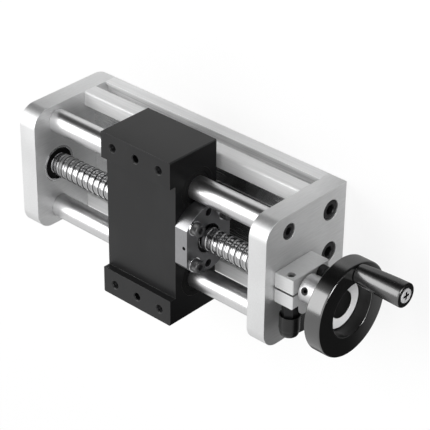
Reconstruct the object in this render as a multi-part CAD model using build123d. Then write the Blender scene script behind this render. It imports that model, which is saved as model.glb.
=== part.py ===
from build123d import *
import math
import os

# A manual linear stage, in millimetres. X runs along the screw, towards the handwheel, Z is up, and
# the origin is the centre of the underside, midway between the end plates.

# Base profile and end plates
PROFILE_LENGTH = 188.0
STAGE_WIDTH = 90.0
PLATE_THICKNESS = 14.0
PLATE_ABOVE_AXIS = 21.0
PLATE_CORNER_RADIUS = 12.5
LEFT_PLATE_FOOT_RADIUS = 4.5
PROFILE_WALL_WIDTH = 11.25
PROFILE_WALL_TOP = 29.0
PROFILE_FLOOR_TOP = 20.2
PROFILE_EDGE_RADIUS = 1.5
FLOOR_GROOVE_OFFSET = 17.9
FLOOR_GROOVE_WIDTH = 0.8
FLOOR_GROOVE_DEPTH = 0.5
SLOT_CENTRE_HEIGHT = 13.9
SLOT_MOUTH_WIDTH = 9.0
SLOT_INNER_WIDTH = 13.0
SLOT_LIP_THICKNESS = 2.0
SLOT_DEPTH = 8.0

# Screw axis and guide rods
AXIS_HEIGHT = 54.0
ROD_DIAMETER = 16.0
ROD_SPACING = 66.0
ROD_SEAT_DEPTH = 3.0
ROD_SEAT_CLEARANCE = 0.05

# Ball screw
THREAD_DIAMETER = 16.0
THREAD_END_GAP = 0.5
SHOULDER_DIAMETER = 13.6
JOURNAL_DIAMETER = 10.0
SHAFT_DIAMETER = 8.0
JOURNAL_END_GAP = 0.5

# Bearings
BEARING_DIAMETER = 26.0
BEARING_WIDTH = 8.0
OUTER_RING_INNER_DIAMETER = 22.6
INNER_RING_OUTER_DIAMETER = 14.7
SEAL_THICKNESS = 0.8
SEAL_INSET = 0.3
SEAL_CLEARANCE = 0.1
POCKET_CLEARANCE = 0.02
POCKET_RELIEF_DIAMETER = 18.0
POCKET_RELIEF_DEPTH = 1.0
PLATE_SHAFT_HOLE_DIAMETER = 10.0

# Carriage
CARRIAGE_REST_X = 2.5
CARRIAGE_LENGTH = 60.0
CARRIAGE_WIDTH = 120.8
CARRIAGE_BELOW_AXIS = 17.5
CARRIAGE_ABOVE_AXIS = 19.8
LIP_HEIGHT = 4.9
LIP_WIDTH = 19.0
LIP_HOLE_SPACING_X = 20.0
LIP_HOLE_SPACING_Y = 103.0
LIP_HOLE_DEPTH = 15.0
LIP_HOLE_DIAMETER = 5.0
LIP_COUNTERSINK_DIAMETER = 6.6
CARRIAGE_EDGE_CHAMFER = 0.6

# Linear bushings
BUSHING_DIAMETER = 28.0
BUSHING_GAP = 1.0
BUSHING_SEAL_LENGTH = 1.5
BUSHING_CLEARANCE = 0.05
BUSHING_SEAT_CLEARANCE = 0.02

# Ball nut
NUT_FLANGE_DIAMETER = 48.0
NUT_FLANGE_THICKNESS = 10.0
NUT_FLAT_WIDTH = 40.0
NUT_BODY_DIAMETER = 28.0
NUT_BODY_LENGTH = 32.0
NUT_BORE_CLEARANCE = 0.3
NUT_SEAT_CLEARANCE = 0.2
NUT_HOLE_CIRCLE = 38.0
NUT_HOLE_ANGLE = 45.0
NUT_OIL_HOLE_DIAMETER = 2.5
NUT_OIL_HOLE_DEPTH = 8.0
NUT_OIL_HOLE_FROM_CARRIAGE = 7.4
WIPER_DIAMETER = 20.0
WIPER_THICKNESS = 3.0
WIPER_INSET = 0.6
WIPER_CLEARANCE = 0.15
WASHER_DIAMETER = 10.0
WASHER_THICKNESS = 1.0

# Socket head screws, by thread size
ROD_SCREW_SIZE = 6.0
ROD_SCREW_LENGTH = 25.0
BASE_SCREW_SIZE = 8.0
BASE_SCREW_LENGTH = 30.0
BASE_SCREW_SLOT_WALL = 2.5
BASE_SCREW_HEIGHT = 14.5
BLOCK_SCREW_SIZE = 5.0
BLOCK_SCREW_LENGTH = 20.0
NUT_SCREW_SIZE = 5.0
NUT_SCREW_LENGTH = 20.0
COUNTERBORE_CLEARANCE = 0.5
SCREW_HOLE_CLEARANCE = 0.25
THREAD_CLEARANCE = 0.05
THREAD_END_SPACE = 3.0

# Clamp block
BLOCK_THICKNESS = 15.0
BLOCK_FRONT_REACH = 11.0
BLOCK_BACK_REACH = 10.0
BLOCK_WALL_OVER_STUD = 2.2
BLOCK_WALL_UNDER_HEAD = 3.25
BLOCK_LOBE_RADIUS = 7.0
BLOCK_LOBE_OFFSET = 12.0
BLOCK_SLIT_WIDTH = 1.4
BLOCK_SLIT_OFFSET = 1.0
BLOCK_EDGE_CHAMFER = 0.4
BLOCK_BORE_CLEARANCE = 0.1
BLOCK_SCREW_SPACING = 11.0
BLOCK_SCREW_SLEEVE_GAP = 0.64

# Clamp lever, whose axis runs along Y
LEVER_FROM_PLATE = 9.4
LEVER_STUD_SHAFT_GAP = 1.4
LEVER_STUD_DIAMETER = 5.0
LEVER_STUD_CLEARANCE = 0.1
LEVER_STUD_END_DEPTH = 2.0
LEVER_HEX_ACROSS_FLATS = 9.2
LEVER_HEX_GAP = 0.3
LEVER_HEX_CLEARANCE = 0.3
LEVER_HUB_TOP = 7.5
LEVER_HUB_LENGTH = 15.0
LEVER_HUB_DIAMETER = 13.4
LEVER_HUB_END_DIAMETER = 11.4
LEVER_HUB_TAPER_LENGTH = 3.0
LEVER_HUB_END_RADIUS = 1.2
LEVER_CUP_DIAMETER = 12.2
LEVER_CUP_DEPTH = 2.5
LEVER_TIP_SCREW_DIAMETER = 5.0
LEVER_TIP_SCREW_LENGTH = 7.0
LEVER_TIP_SCREW_STANDOUT = 1.3
LEVER_ARM_LENGTH = 44.0
LEVER_ARM_ROOT_WIDTH = 10.0
LEVER_ARM_ROOT_THICKNESS = 13.5
LEVER_ARM_END_WIDTH = 8.0
LEVER_ARM_END_THICKNESS = 6.0
LEVER_ARM_ROOT_DROP = 8.7
LEVER_ARM_END_DROP = 23.0
LEVER_ARM_END_RADIUS = 2.3
LEVER_ARM_EDGE_RADIUS = 1.5

# Hub sleeve and its set screw
SLEEVE_DIAMETER = 19.0
SLEEVE_BLOCK_GAP = 1.0
SLEEVE_BORE_CLEARANCE = 0.02
SLEEVE_EDGE_CHAMFER = 0.5
SET_SCREW_DIAMETER = 5.0
SET_SCREW_LENGTH = 4.0
SET_SCREW_INSET = 0.8
SET_SCREW_SOCKET = 2.5
SET_SCREW_FROM_SLEEVE_END = 4.7
SET_SCREW_ANGLE = 68.0

# Handwheel
WHEEL_BACK_FROM_PLATE = 39.2
WHEEL_RIM_WIDTH = 11.6
WHEEL_DIAMETER = 62.6
WHEEL_FACE_EDGE_RADIUS = 1.2
WHEEL_BACK_EDGE_RADIUS = 0.6
WHEEL_WEB_THICKNESS = 2.4
WHEEL_DISH_DIAMETER = 36.4
WHEEL_DISH_FLOOR_DIAMETER = 33.4
WHEEL_BOSS_DIAMETER = 24.0
WHEEL_BOSS_LENGTH = 4.0
WHEEL_BORE_CLEARANCE = 0.02
HUB_RING_OUTER_DIAMETER = 31.6
HUB_RING_INNER_DIAMETER = 18.4
HUB_RING_THICKNESS = 1.0
HUB_CAP_DIAMETER = 18.0
HUB_CAP_THICKNESS = 1.4

# Revolving handle
HANDLE_ORBIT_RADIUS = 24.5
HANDLE_ANGLE = -10.4
HANDLE_RIM_GAP = 0.3
HANDLE_LENGTH = 34.2
HANDLE_FOOT_DIAMETER = 12.4
HANDLE_WAIST_DIAMETER = 13.8
HANDLE_WAIST_POSITION = 9.0
HANDLE_DIAMETER = 15.8
HANDLE_END_RADIUS = 1.8
AXLE_DIAMETER = 6.0
AXLE_CLEARANCE = 0.1
AXLE_THREAD_DIAMETER = 5.0
AXLE_THREAD_LENGTH = 8.0
AXLE_HEAD_DIAMETER = 9.4
AXLE_HEAD_THICKNESS = 3.0
AXLE_HEAD_CLEARANCE = 0.35
AXLE_HEAD_STANDOUT = 0.4
AXLE_RECESS_WIDTH = 1.2
AXLE_RECESS_LENGTH = 5.4
AXLE_RECESS_DEPTH = 1.4

# Places worked out from the sizes above
PLATE_HEIGHT = AXIS_HEIGHT + PLATE_ABOVE_AXIS
CARRIAGE_BOTTOM = AXIS_HEIGHT - CARRIAGE_BELOW_AXIS
CARRIAGE_TOP = AXIS_HEIGHT + CARRIAGE_ABOVE_AXIS
LIP_TOP = CARRIAGE_TOP + LIP_HEIGHT
LEVER_AXIS_HEIGHT = AXIS_HEIGHT + (SHAFT_DIAMETER + LEVER_STUD_DIAMETER) / 2 + LEVER_STUD_SHAFT_GAP
BLOCK_TOP = LEVER_AXIS_HEIGHT + LEVER_STUD_DIAMETER / 2 + BLOCK_WALL_OVER_STUD
BASE_SCREW_Y = STAGE_WIDTH / 2 - SLOT_DEPTH - BASE_SCREW_SIZE / 2 - BASE_SCREW_SLOT_WALL
HALF_PROFILE = PROFILE_LENGTH / 2
PLATE_FACE = HALF_PROFILE + PLATE_THICKNESS
ROD_Y = ROD_SPACING / 2
BLOCK_FACE = PLATE_FACE + BLOCK_THICKNESS
LEVER_X = PLATE_FACE + LEVER_FROM_PLATE
SLEEVE_START = BLOCK_FACE + SLEEVE_BLOCK_GAP
WHEEL_BACK = PLATE_FACE + WHEEL_BACK_FROM_PLATE
WHEEL_FLOOR = WHEEL_BACK + WHEEL_WEB_THICKNESS
WHEEL_FACE = WHEEL_BACK + WHEEL_RIM_WIDTH
CARRIAGE_RIGHT = CARRIAGE_REST_X + CARRIAGE_LENGTH / 2
CARRIAGE_LEFT = CARRIAGE_RIGHT - CARRIAGE_LENGTH
NUT_FACE = CARRIAGE_RIGHT + NUT_FLANGE_THICKNESS
NUT_END = CARRIAGE_RIGHT - NUT_BODY_LENGTH


def bar(radius, start, end):
    """A round bar between two points."""
    direction = Vector(*end) - Vector(*start)
    section = Plane(origin=start, z_dir=direction) * Circle(radius)
    return extrude(section, direction.length)


def axle(radius, start_x, end_x, y=0.0, z=AXIS_HEIGHT):
    """A round bar along X; by itself it lies on the screw axis."""
    return bar(radius, (start_x, y, z), (end_x, y, z))


def ring(outer_radius, inner_radius, start_x, end_x, y=0.0, z=AXIS_HEIGHT):
    """A tube along X."""
    bore = axle(inner_radius, start_x, end_x, y, z)
    return axle(outer_radius, start_x, end_x, y, z) - bore


def slab(x_range, y_range, z_range):
    """A rectangular block between three pairs of limits."""
    lows = [min(pair) for pair in (x_range, y_range, z_range)]
    sizes = [abs(pair[1] - pair[0]) for pair in (x_range, y_range, z_range)]
    return Pos(*lows) * Box(*sizes, align=(Align.MIN, Align.MIN, Align.MIN))


def head_radius(size):
    """Head radius of a socket head screw: half of one and a half thread sizes plus one."""
    return (1.5 * size + 1.0) / 2


def socket_screw(size, length, seat, direction):
    """A socket head screw whose head rests on the seat point and whose shank runs along direction."""
    inward = Vector(*direction)
    seat_point = Vector(*seat)
    top = seat_point - inward * size
    head = bar(head_radius(size), tuple(top), tuple(seat_point))
    head = chamfer(head.edges().group_by(Axis(seat_point, inward))[0], 0.06 * size)
    shank = bar(size / 2, tuple(seat_point), tuple(seat_point + inward * length))
    socket_plane = Plane(origin=top, z_dir=inward)
    socket = extrude(socket_plane * RegularPolygon(0.4 * size, 6, major_radius=False), 0.5 * size)
    return head + shank - socket


def grouped(solids):
    """Separate solids that share one node."""
    return Compound(children=[solid for item in solids for solid in item.solids()])


def counterbore(size, side, y, z, hole_floor):
    """The stepped hole for a socket head screw in an end plate; side is -1 for the left plate."""
    outer = side * PLATE_FACE
    seat = side * (PLATE_FACE - size - COUNTERBORE_CLEARANCE)
    wide = axle(head_radius(size) + COUNTERBORE_CLEARANCE, outer, seat, y, z)
    narrow = axle(size / 2 + SCREW_HOLE_CLEARANCE, seat, side * hole_floor, y, z)
    return wide + narrow


def base_screw_places():
    """Y of the three screws that hold each plate to the profile."""
    return [-BASE_SCREW_Y, 0.0, BASE_SCREW_Y]


def end_plate(side):
    """An end plate with its bearing pocket, rod seats and counterbores."""
    inner = side * HALF_PROFILE
    outline = Pos(0, PLATE_HEIGHT / 2) * Rectangle(STAGE_WIDTH, PLATE_HEIGHT)
    top_corners = outline.vertices().group_by(Axis.Y)[-1]
    outline = fillet(top_corners, PLATE_CORNER_RADIUS)
    plate = extrude(Plane.YZ.offset(inner) * outline, side * PLATE_THICKNESS)
    pocket_floor = side * (HALF_PROFILE + BEARING_WIDTH)
    relief_floor = pocket_floor + side * POCKET_RELIEF_DEPTH
    plate -= axle(BEARING_DIAMETER / 2 + POCKET_CLEARANCE, inner, pocket_floor)
    plate -= axle(POCKET_RELIEF_DIAMETER / 2, pocket_floor, relief_floor)
    rod_seat = side * (HALF_PROFILE + ROD_SEAT_DEPTH)
    for y in (-ROD_Y, ROD_Y):
        plate -= axle(ROD_DIAMETER / 2 + ROD_SEAT_CLEARANCE, inner, rod_seat, y)
        plate -= counterbore(ROD_SCREW_SIZE, side, y, AXIS_HEIGHT, HALF_PROFILE)
    for y in base_screw_places():
        plate -= counterbore(BASE_SCREW_SIZE, side, y, BASE_SCREW_HEIGHT, HALF_PROFILE)
    return plate


def left_end_plate():
    """The left plate, whose outer bottom edge is rounded."""
    plate = end_plate(-1)
    bottom_edges = plate.edges().filter_by(Axis.Y).group_by(Axis.Z)[0]
    return fillet(bottom_edges.sort_by(Axis.X)[0], LEFT_PLATE_FOOT_RADIUS)


def block_screw_places():
    """Y of the two screws that hold the clamp block."""
    return [-BLOCK_SCREW_SPACING / 2, BLOCK_SCREW_SPACING / 2]


def block_screw_height():
    """Z of the clamp block's screws, whose heads stay clear of the sleeve."""
    reach = SLEEVE_DIAMETER / 2 + head_radius(BLOCK_SCREW_SIZE) + BLOCK_SCREW_SLEEVE_GAP
    return AXIS_HEIGHT - math.sqrt(reach**2 - (BLOCK_SCREW_SPACING / 2) ** 2)


def right_end_plate():
    """The right plate, with the shaft hole and the tapped holes of the clamp block."""
    plate = end_plate(1)
    plate -= axle(PLATE_SHAFT_HOLE_DIAMETER / 2, HALF_PROFILE, PLATE_FACE)
    block_screw_end = BLOCK_FACE - BLOCK_SCREW_LENGTH
    for y in block_screw_places():
        tapped = BLOCK_SCREW_SIZE / 2 + THREAD_CLEARANCE
        plate -= axle(tapped, PLATE_FACE, block_screw_end - THREAD_CLEARANCE, y, block_screw_height())
    return plate


def t_slot(side):
    """The section of one side slot: a narrow mouth and a wider chamber."""
    mouth = Rectangle(SLOT_DEPTH, SLOT_MOUTH_WIDTH, align=(Align.MAX, Align.CENTER))
    chamber_depth = SLOT_DEPTH - SLOT_LIP_THICKNESS
    chamber = Rectangle(chamber_depth, SLOT_INNER_WIDTH, align=(Align.MAX, Align.CENTER))
    section = mouth + Pos(-SLOT_LIP_THICKNESS, 0) * chamber
    placed = Pos(STAGE_WIDTH / 2, SLOT_CENTRE_HEIGHT) * section
    return placed if side > 0 else mirror(placed, Plane.YZ)


def base_profile():
    """The extrusion: a channel between two walls, with a T-slot in each side."""
    section = Pos(0, PROFILE_WALL_TOP / 2) * Rectangle(STAGE_WIDTH, PROFILE_WALL_TOP)
    channel_width = STAGE_WIDTH - 2 * PROFILE_WALL_WIDTH
    channel_depth = PROFILE_WALL_TOP - PROFILE_FLOOR_TOP
    channel = Rectangle(channel_width, channel_depth, align=(Align.CENTER, Align.MAX))
    section -= Pos(0, PROFILE_WALL_TOP) * channel
    section = fillet(section.vertices().group_by(Axis.Y)[-1], PROFILE_EDGE_RADIUS)
    groove = Rectangle(FLOOR_GROOVE_WIDTH, 2 * FLOOR_GROOVE_DEPTH)
    for side in (-1, 1):
        section -= Pos(side * FLOOR_GROOVE_OFFSET, PROFILE_FLOOR_TOP) * groove
        section -= t_slot(side)
    profile = extrude(Plane.YZ.offset(-HALF_PROFILE) * section, PROFILE_LENGTH)
    seat = PLATE_FACE - BASE_SCREW_SIZE - COUNTERBORE_CLEARANCE
    hole_end = seat - BASE_SCREW_LENGTH - THREAD_END_SPACE
    tapped = BASE_SCREW_SIZE / 2 + THREAD_CLEARANCE
    for y in base_screw_places():
        for side in (-1, 1):
            profile -= axle(tapped, side * HALF_PROFILE, side * hole_end, y, BASE_SCREW_HEIGHT)
    return profile


def guide_rod(y):
    """A ground rod, seated in both plates and tapped at both ends."""
    end = HALF_PROFILE + ROD_SEAT_DEPTH
    rod = axle(ROD_DIAMETER / 2, -end, end, y)
    seat = PLATE_FACE - ROD_SCREW_SIZE - COUNTERBORE_CLEARANCE
    hole_end = seat - ROD_SCREW_LENGTH - THREAD_END_SPACE
    for side in (-1, 1):
        rod -= axle(ROD_SCREW_SIZE / 2 + THREAD_CLEARANCE, side * end, side * hole_end, y)
    return rod


def plate_screws(size, length, places, z):
    """Socket head screws in the counterbores of both plates."""
    seat = PLATE_FACE - size - COUNTERBORE_CLEARANCE
    screws = []
    for side in (-1, 1):
        for y in places:
            screws.append(socket_screw(size, length, (side * seat, y, z), (-side, 0, 0)))
    return grouped(screws)


def bearing_span(side):
    """X of the inner face and of the pocket floor of one bearing."""
    return side * HALF_PROFILE, side * (HALF_PROFILE + BEARING_WIDTH)


def bearing_outer_ring(side):
    """The bearing ring that sits in the plate."""
    inner, floor = bearing_span(side)
    return ring(BEARING_DIAMETER / 2, OUTER_RING_INNER_DIAMETER / 2, inner, floor)


def bearing_inner_ring(side):
    """The bearing ring that turns with the screw."""
    inner, floor = bearing_span(side)
    return ring(INNER_RING_OUTER_DIAMETER / 2, JOURNAL_DIAMETER / 2, inner, floor)


def bearing_seals(side):
    """The two seals between the rings, held by the outer one."""
    inner, floor = bearing_span(side)
    lip = INNER_RING_OUTER_DIAMETER / 2 + SEAL_CLEARANCE
    seals = []
    for face, inward in ((inner, side), (floor, -side)):
        start = face + inward * SEAL_INSET
        seals.append(ring(OUTER_RING_INNER_DIAMETER / 2, lip, start, start + inward * SEAL_THICKNESS))
    return grouped(seals)


def ball_screw():
    """The screw: its threaded length, a shoulder and journal at each end, and the long right end."""
    thread_end = HALF_PROFILE - THREAD_END_GAP
    screw = axle(THREAD_DIAMETER / 2, -thread_end, thread_end)
    screw += axle(SHOULDER_DIAMETER / 2, -HALF_PROFILE, HALF_PROFILE)
    journal_end = HALF_PROFILE + BEARING_WIDTH + JOURNAL_END_GAP
    screw += axle(JOURNAL_DIAMETER / 2, -journal_end, journal_end)
    screw += axle(SHAFT_DIAMETER / 2, journal_end, WHEEL_FLOOR)
    return screw


def carriage_block():
    """The carriage: a block with two raised lips, bored for the bushings and the nut."""
    x_range = (CARRIAGE_LEFT, CARRIAGE_RIGHT)
    half_width = CARRIAGE_WIDTH / 2
    block = slab(x_range, (-half_width, half_width), (CARRIAGE_BOTTOM, LIP_TOP))
    recess_half = half_width - LIP_WIDTH
    block -= slab(x_range, (-recess_half, recess_half), (CARRIAGE_TOP, LIP_TOP))
    outer_edges = block.edges().filter_by(Axis.Z).group_by(Axis.Y)
    long_edges = outer_edges[0] + outer_edges[-1]
    block = chamfer(long_edges, CARRIAGE_EDGE_CHAMFER)
    block -= axle(NUT_BODY_DIAMETER / 2 + NUT_SEAT_CLEARANCE, CARRIAGE_LEFT, CARRIAGE_RIGHT)
    for y in (-ROD_Y, ROD_Y):
        seat = BUSHING_DIAMETER / 2 + BUSHING_SEAT_CLEARANCE
        block -= axle(seat, CARRIAGE_LEFT, CARRIAGE_RIGHT, y)
    tapped = NUT_SCREW_SIZE / 2 + THREAD_CLEARANCE
    grip_length = NUT_SCREW_LENGTH - NUT_FLANGE_THICKNESS - WASHER_THICKNESS
    hole_end = CARRIAGE_RIGHT - grip_length - THREAD_END_SPACE
    for y, z in nut_screw_places():
        block -= axle(tapped, CARRIAGE_RIGHT, hole_end, y, z)
    for x, y in lip_hole_places():
        block -= bar(LIP_HOLE_DIAMETER / 2, (x, y, LIP_TOP), (x, y, LIP_TOP - LIP_HOLE_DEPTH))
        sink_depth = (LIP_COUNTERSINK_DIAMETER - LIP_HOLE_DIAMETER) / 2
        sink = Cone(LIP_HOLE_DIAMETER / 2, LIP_COUNTERSINK_DIAMETER / 2, sink_depth)
        block -= Pos(x, y, LIP_TOP - sink_depth / 2) * sink
    return block


def lip_hole_places():
    """X and Y of the six tapped holes in the carriage's lips."""
    places = []
    for y in (-LIP_HOLE_SPACING_Y / 2, LIP_HOLE_SPACING_Y / 2):
        for step in (-1, 0, 1):
            places.append((CARRIAGE_REST_X + step * LIP_HOLE_SPACING_X, y))
    return places


def bushing(y, end):
    """One linear bushing's steel shell; end is -1 at the carriage's left face and 1 at its right."""
    face = CARRIAGE_REST_X + end * CARRIAGE_LENGTH / 2
    start = face - end * BUSHING_SEAL_LENGTH
    middle = CARRIAGE_REST_X + end * BUSHING_GAP / 2
    bore = ROD_DIAMETER / 2 + BUSHING_CLEARANCE
    return ring(BUSHING_DIAMETER / 2, bore, start, middle, y)


def bushing_seals():
    """The black end seals of the four bushings, flush with the carriage's sides."""
    bore = ROD_DIAMETER / 2 + 2 * BUSHING_CLEARANCE
    seals = []
    for y in (-ROD_Y, ROD_Y):
        for end in (-1, 1):
            face = CARRIAGE_REST_X + end * CARRIAGE_LENGTH / 2
            inner = face - end * BUSHING_SEAL_LENGTH
            seals.append(ring(BUSHING_DIAMETER / 2, bore, face, inner, y))
    return grouped(seals)


def nut_hole_places():
    """Y and Z of the six flange holes: four beside the flats and two on the middle line."""
    radius = NUT_HOLE_CIRCLE / 2
    places = []
    for angle in (0, NUT_HOLE_ANGLE, 180 - NUT_HOLE_ANGLE, 180, 180 + NUT_HOLE_ANGLE, -NUT_HOLE_ANGLE):
        turn = math.radians(angle)
        places.append((radius * math.cos(turn), AXIS_HEIGHT + radius * math.sin(turn)))
    return places


def nut_screw_places():
    """The four flange holes that have screws."""
    return [place for place in nut_hole_places() if abs(place[1] - AXIS_HEIGHT) > 1.0]


def ball_nut():
    """The flanged nut: a round flange with two flats, and a body inside the carriage."""
    half_flat = NUT_FLAT_WIDTH / 2
    flange = axle(NUT_FLANGE_DIAMETER / 2, CARRIAGE_RIGHT, NUT_FACE)
    y_range = (-NUT_FLANGE_DIAMETER, NUT_FLANGE_DIAMETER)
    z_range = (AXIS_HEIGHT - half_flat, AXIS_HEIGHT + half_flat)
    flange &= slab((CARRIAGE_RIGHT, NUT_FACE), y_range, z_range)
    nut = flange + axle(NUT_BODY_DIAMETER / 2, NUT_END, CARRIAGE_RIGHT)
    nut -= axle(THREAD_DIAMETER / 2 + NUT_BORE_CLEARANCE, NUT_END, NUT_FACE)
    seat_depth = WIPER_INSET + WIPER_THICKNESS
    nut -= axle(WIPER_DIAMETER / 2, NUT_FACE, NUT_FACE - seat_depth)
    nut -= axle(WIPER_DIAMETER / 2, NUT_END, NUT_END + seat_depth)
    for y, z in nut_hole_places():
        nut -= axle(NUT_SCREW_SIZE / 2 + SCREW_HOLE_CLEARANCE, CARRIAGE_RIGHT, NUT_FACE, y, z)
    oil_x = CARRIAGE_RIGHT + NUT_OIL_HOLE_FROM_CARRIAGE
    top = AXIS_HEIGHT + half_flat
    nut -= bar(NUT_OIL_HOLE_DIAMETER / 2, (oil_x, 0, top), (oil_x, 0, top - NUT_OIL_HOLE_DEPTH))
    return nut


def nut_wipers():
    """The wiper ring at each end of the nut."""
    bore = THREAD_DIAMETER / 2 + WIPER_CLEARANCE
    outer_start = NUT_FACE - WIPER_INSET
    inner_start = NUT_END + WIPER_INSET
    outer = ring(WIPER_DIAMETER / 2, bore, outer_start, outer_start - WIPER_THICKNESS)
    inner = ring(WIPER_DIAMETER / 2, bore, inner_start, inner_start + WIPER_THICKNESS)
    return grouped([outer, inner])


def nut_screws():
    """The four screws that hold the nut to the carriage."""
    seat = NUT_FACE + WASHER_THICKNESS
    screws = []
    for y, z in nut_screw_places():
        screws.append(socket_screw(NUT_SCREW_SIZE, NUT_SCREW_LENGTH, (seat, y, z), (-1, 0, 0)))
    return grouped(screws)


def nut_washers():
    """A washer under each of the nut's screws."""
    hole = NUT_SCREW_SIZE / 2 + SCREW_HOLE_CLEARANCE
    washers = []
    for y, z in nut_screw_places():
        washers.append(ring(WASHER_DIAMETER / 2, hole, NUT_FACE, NUT_FACE + WASHER_THICKNESS, y, z))
    return grouped(washers)


def lever_hub_top():
    """Y of the hub's upper end; the lever hangs below the block, towards -Y."""
    return -BLOCK_FRONT_REACH - LEVER_HUB_TOP


def lever_point(y, z=LEVER_AXIS_HEIGHT):
    """A point on the lever's axis, or in its middle plane at another height."""
    return (LEVER_X, y, z)


def clamp_block():
    """The split block that grips the shaft, with a rounded lobe on its lower side."""
    bottom = block_screw_height() - head_radius(BLOCK_SCREW_SIZE) - BLOCK_WALL_UNDER_HEAD
    y_range = (-BLOCK_FRONT_REACH, BLOCK_BACK_REACH)
    block = slab((PLATE_FACE, BLOCK_FACE), y_range, (bottom, BLOCK_TOP))
    front_edges = block.edges().group_by(Axis.X)[-1]
    block = chamfer(front_edges, BLOCK_EDGE_CHAMFER)
    block += axle(BLOCK_LOBE_RADIUS, PLATE_FACE, BLOCK_FACE, -BLOCK_LOBE_OFFSET)
    block -= axle(SHAFT_DIAMETER / 2 + BLOCK_BORE_CLEARANCE, PLATE_FACE, BLOCK_FACE)
    slit_start = -BLOCK_SLIT_OFFSET - BLOCK_SLIT_WIDTH / 2
    slit = (slit_start, slit_start + BLOCK_SLIT_WIDTH)
    block -= slab((PLATE_FACE, BLOCK_FACE), slit, (AXIS_HEIGHT, BLOCK_TOP))
    stud_hole = LEVER_STUD_DIAMETER / 2 + LEVER_STUD_CLEARANCE
    block -= bar(stud_hole, lever_point(-BLOCK_FRONT_REACH), lever_point(BLOCK_BACK_REACH))
    hex_corner = LEVER_HEX_ACROSS_FLATS / math.sqrt(3) + LEVER_HEX_CLEARANCE
    below_lobe = -BLOCK_LOBE_OFFSET - BLOCK_LOBE_RADIUS - LEVER_HEX_GAP
    block -= bar(hex_corner, lever_point(-BLOCK_FRONT_REACH), lever_point(below_lobe))
    hub_room = LEVER_HUB_DIAMETER / 2 + LEVER_HEX_CLEARANCE
    block -= bar(hub_room, lever_point(lever_hub_top() + LEVER_HEX_CLEARANCE), lever_point(below_lobe))
    for y in block_screw_places():
        hole = BLOCK_SCREW_SIZE / 2 + SCREW_HOLE_CLEARANCE
        block -= axle(hole, PLATE_FACE, BLOCK_FACE, y, block_screw_height())
    return block


def clamp_block_screws():
    """The two screws that hold the clamp block to the plate."""
    screws = []
    for y in block_screw_places():
        seat = (BLOCK_FACE, y, block_screw_height())
        screws.append(socket_screw(BLOCK_SCREW_SIZE, BLOCK_SCREW_LENGTH, seat, (-1, 0, 0)))
    return grouped(screws)


def lever_arm():
    """The arm: it leaves the hub along -Z, slopes away from the block and ends rounded."""
    root_y = -BLOCK_FRONT_REACH - LEVER_ARM_ROOT_DROP - LEVER_ARM_ROOT_THICKNESS / 2
    end_y = -BLOCK_FRONT_REACH - LEVER_ARM_END_DROP - LEVER_ARM_END_THICKNESS / 2
    root = Plane(origin=lever_point(root_y), x_dir=(1, 0, 0), z_dir=(0, 0, -1))
    end_height = LEVER_AXIS_HEIGHT - LEVER_ARM_LENGTH
    end = Plane(origin=lever_point(end_y, end_height), x_dir=(1, 0, 0), z_dir=(0, 0, -1))
    root_section = RectangleRounded(LEVER_ARM_ROOT_WIDTH, LEVER_ARM_ROOT_THICKNESS, LEVER_ARM_EDGE_RADIUS)
    end_section = RectangleRounded(LEVER_ARM_END_WIDTH, LEVER_ARM_END_THICKNESS, LEVER_ARM_EDGE_RADIUS)
    arm = loft([root * root_section, end * end_section])
    return fillet(arm.edges().group_by(Axis.Z)[0], LEVER_ARM_END_RADIUS / 2)


def lever_hub_profile():
    """Half the section of the hub, from its top to its tapered end, as radius against depth."""
    radius = LEVER_HUB_DIAMETER / 2
    end_radius = LEVER_HUB_END_DIAMETER / 2
    straight = LEVER_HUB_LENGTH - LEVER_HUB_TAPER_LENGTH
    return [(0, 0), (radius, 0), (radius, straight), (end_radius, LEVER_HUB_LENGTH), (0, LEVER_HUB_LENGTH)]


def clamp_lever():
    """The lever: a hub with a cup at its top and a tapered end, and the arm."""
    top = lever_hub_top()
    frame = Plane(origin=lever_point(top), x_dir=(1, 0, 0), z_dir=(0, 0, 1))
    outline = make_face(Polyline([(r, -depth) for r, depth in lever_hub_profile()], close=True))
    hub = revolve(frame * outline, Axis(lever_point(top), (0, 1, 0)))
    hub = fillet(hub.edges().filter_by(GeomType.CIRCLE).group_by(Axis.Y)[0], LEVER_HUB_END_RADIUS)
    lever = hub + lever_arm()
    lever -= bar(LEVER_CUP_DIAMETER / 2, lever_point(top), lever_point(top - LEVER_CUP_DEPTH))
    hex_room = LEVER_HEX_ACROSS_FLATS / math.sqrt(3)
    insert_end = top - LEVER_HUB_LENGTH + LEVER_TIP_SCREW_LENGTH
    lever -= bar(hex_room, lever_point(top), lever_point(insert_end))
    tip_hole = LEVER_TIP_SCREW_DIAMETER / 2 + THREAD_CLEARANCE
    lever -= bar(tip_hole, lever_point(insert_end), lever_point(top - LEVER_HUB_LENGTH))
    return lever


def lever_insert():
    """The steel insert: a hexagon that carries the lever and the stud that closes the block."""
    start = -BLOCK_FRONT_REACH - LEVER_HEX_GAP
    end = lever_hub_top() - LEVER_HUB_LENGTH + LEVER_TIP_SCREW_LENGTH
    section = RegularPolygon(LEVER_HEX_ACROSS_FLATS / 2, 6, major_radius=False)
    hexagon = extrude(Plane(origin=lever_point(start), z_dir=(0, -1, 0)) * section, start - end)
    stud_end = BLOCK_BACK_REACH - LEVER_STUD_END_DEPTH
    return hexagon + bar(LEVER_STUD_DIAMETER / 2, lever_point(start), lever_point(stud_end))


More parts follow.
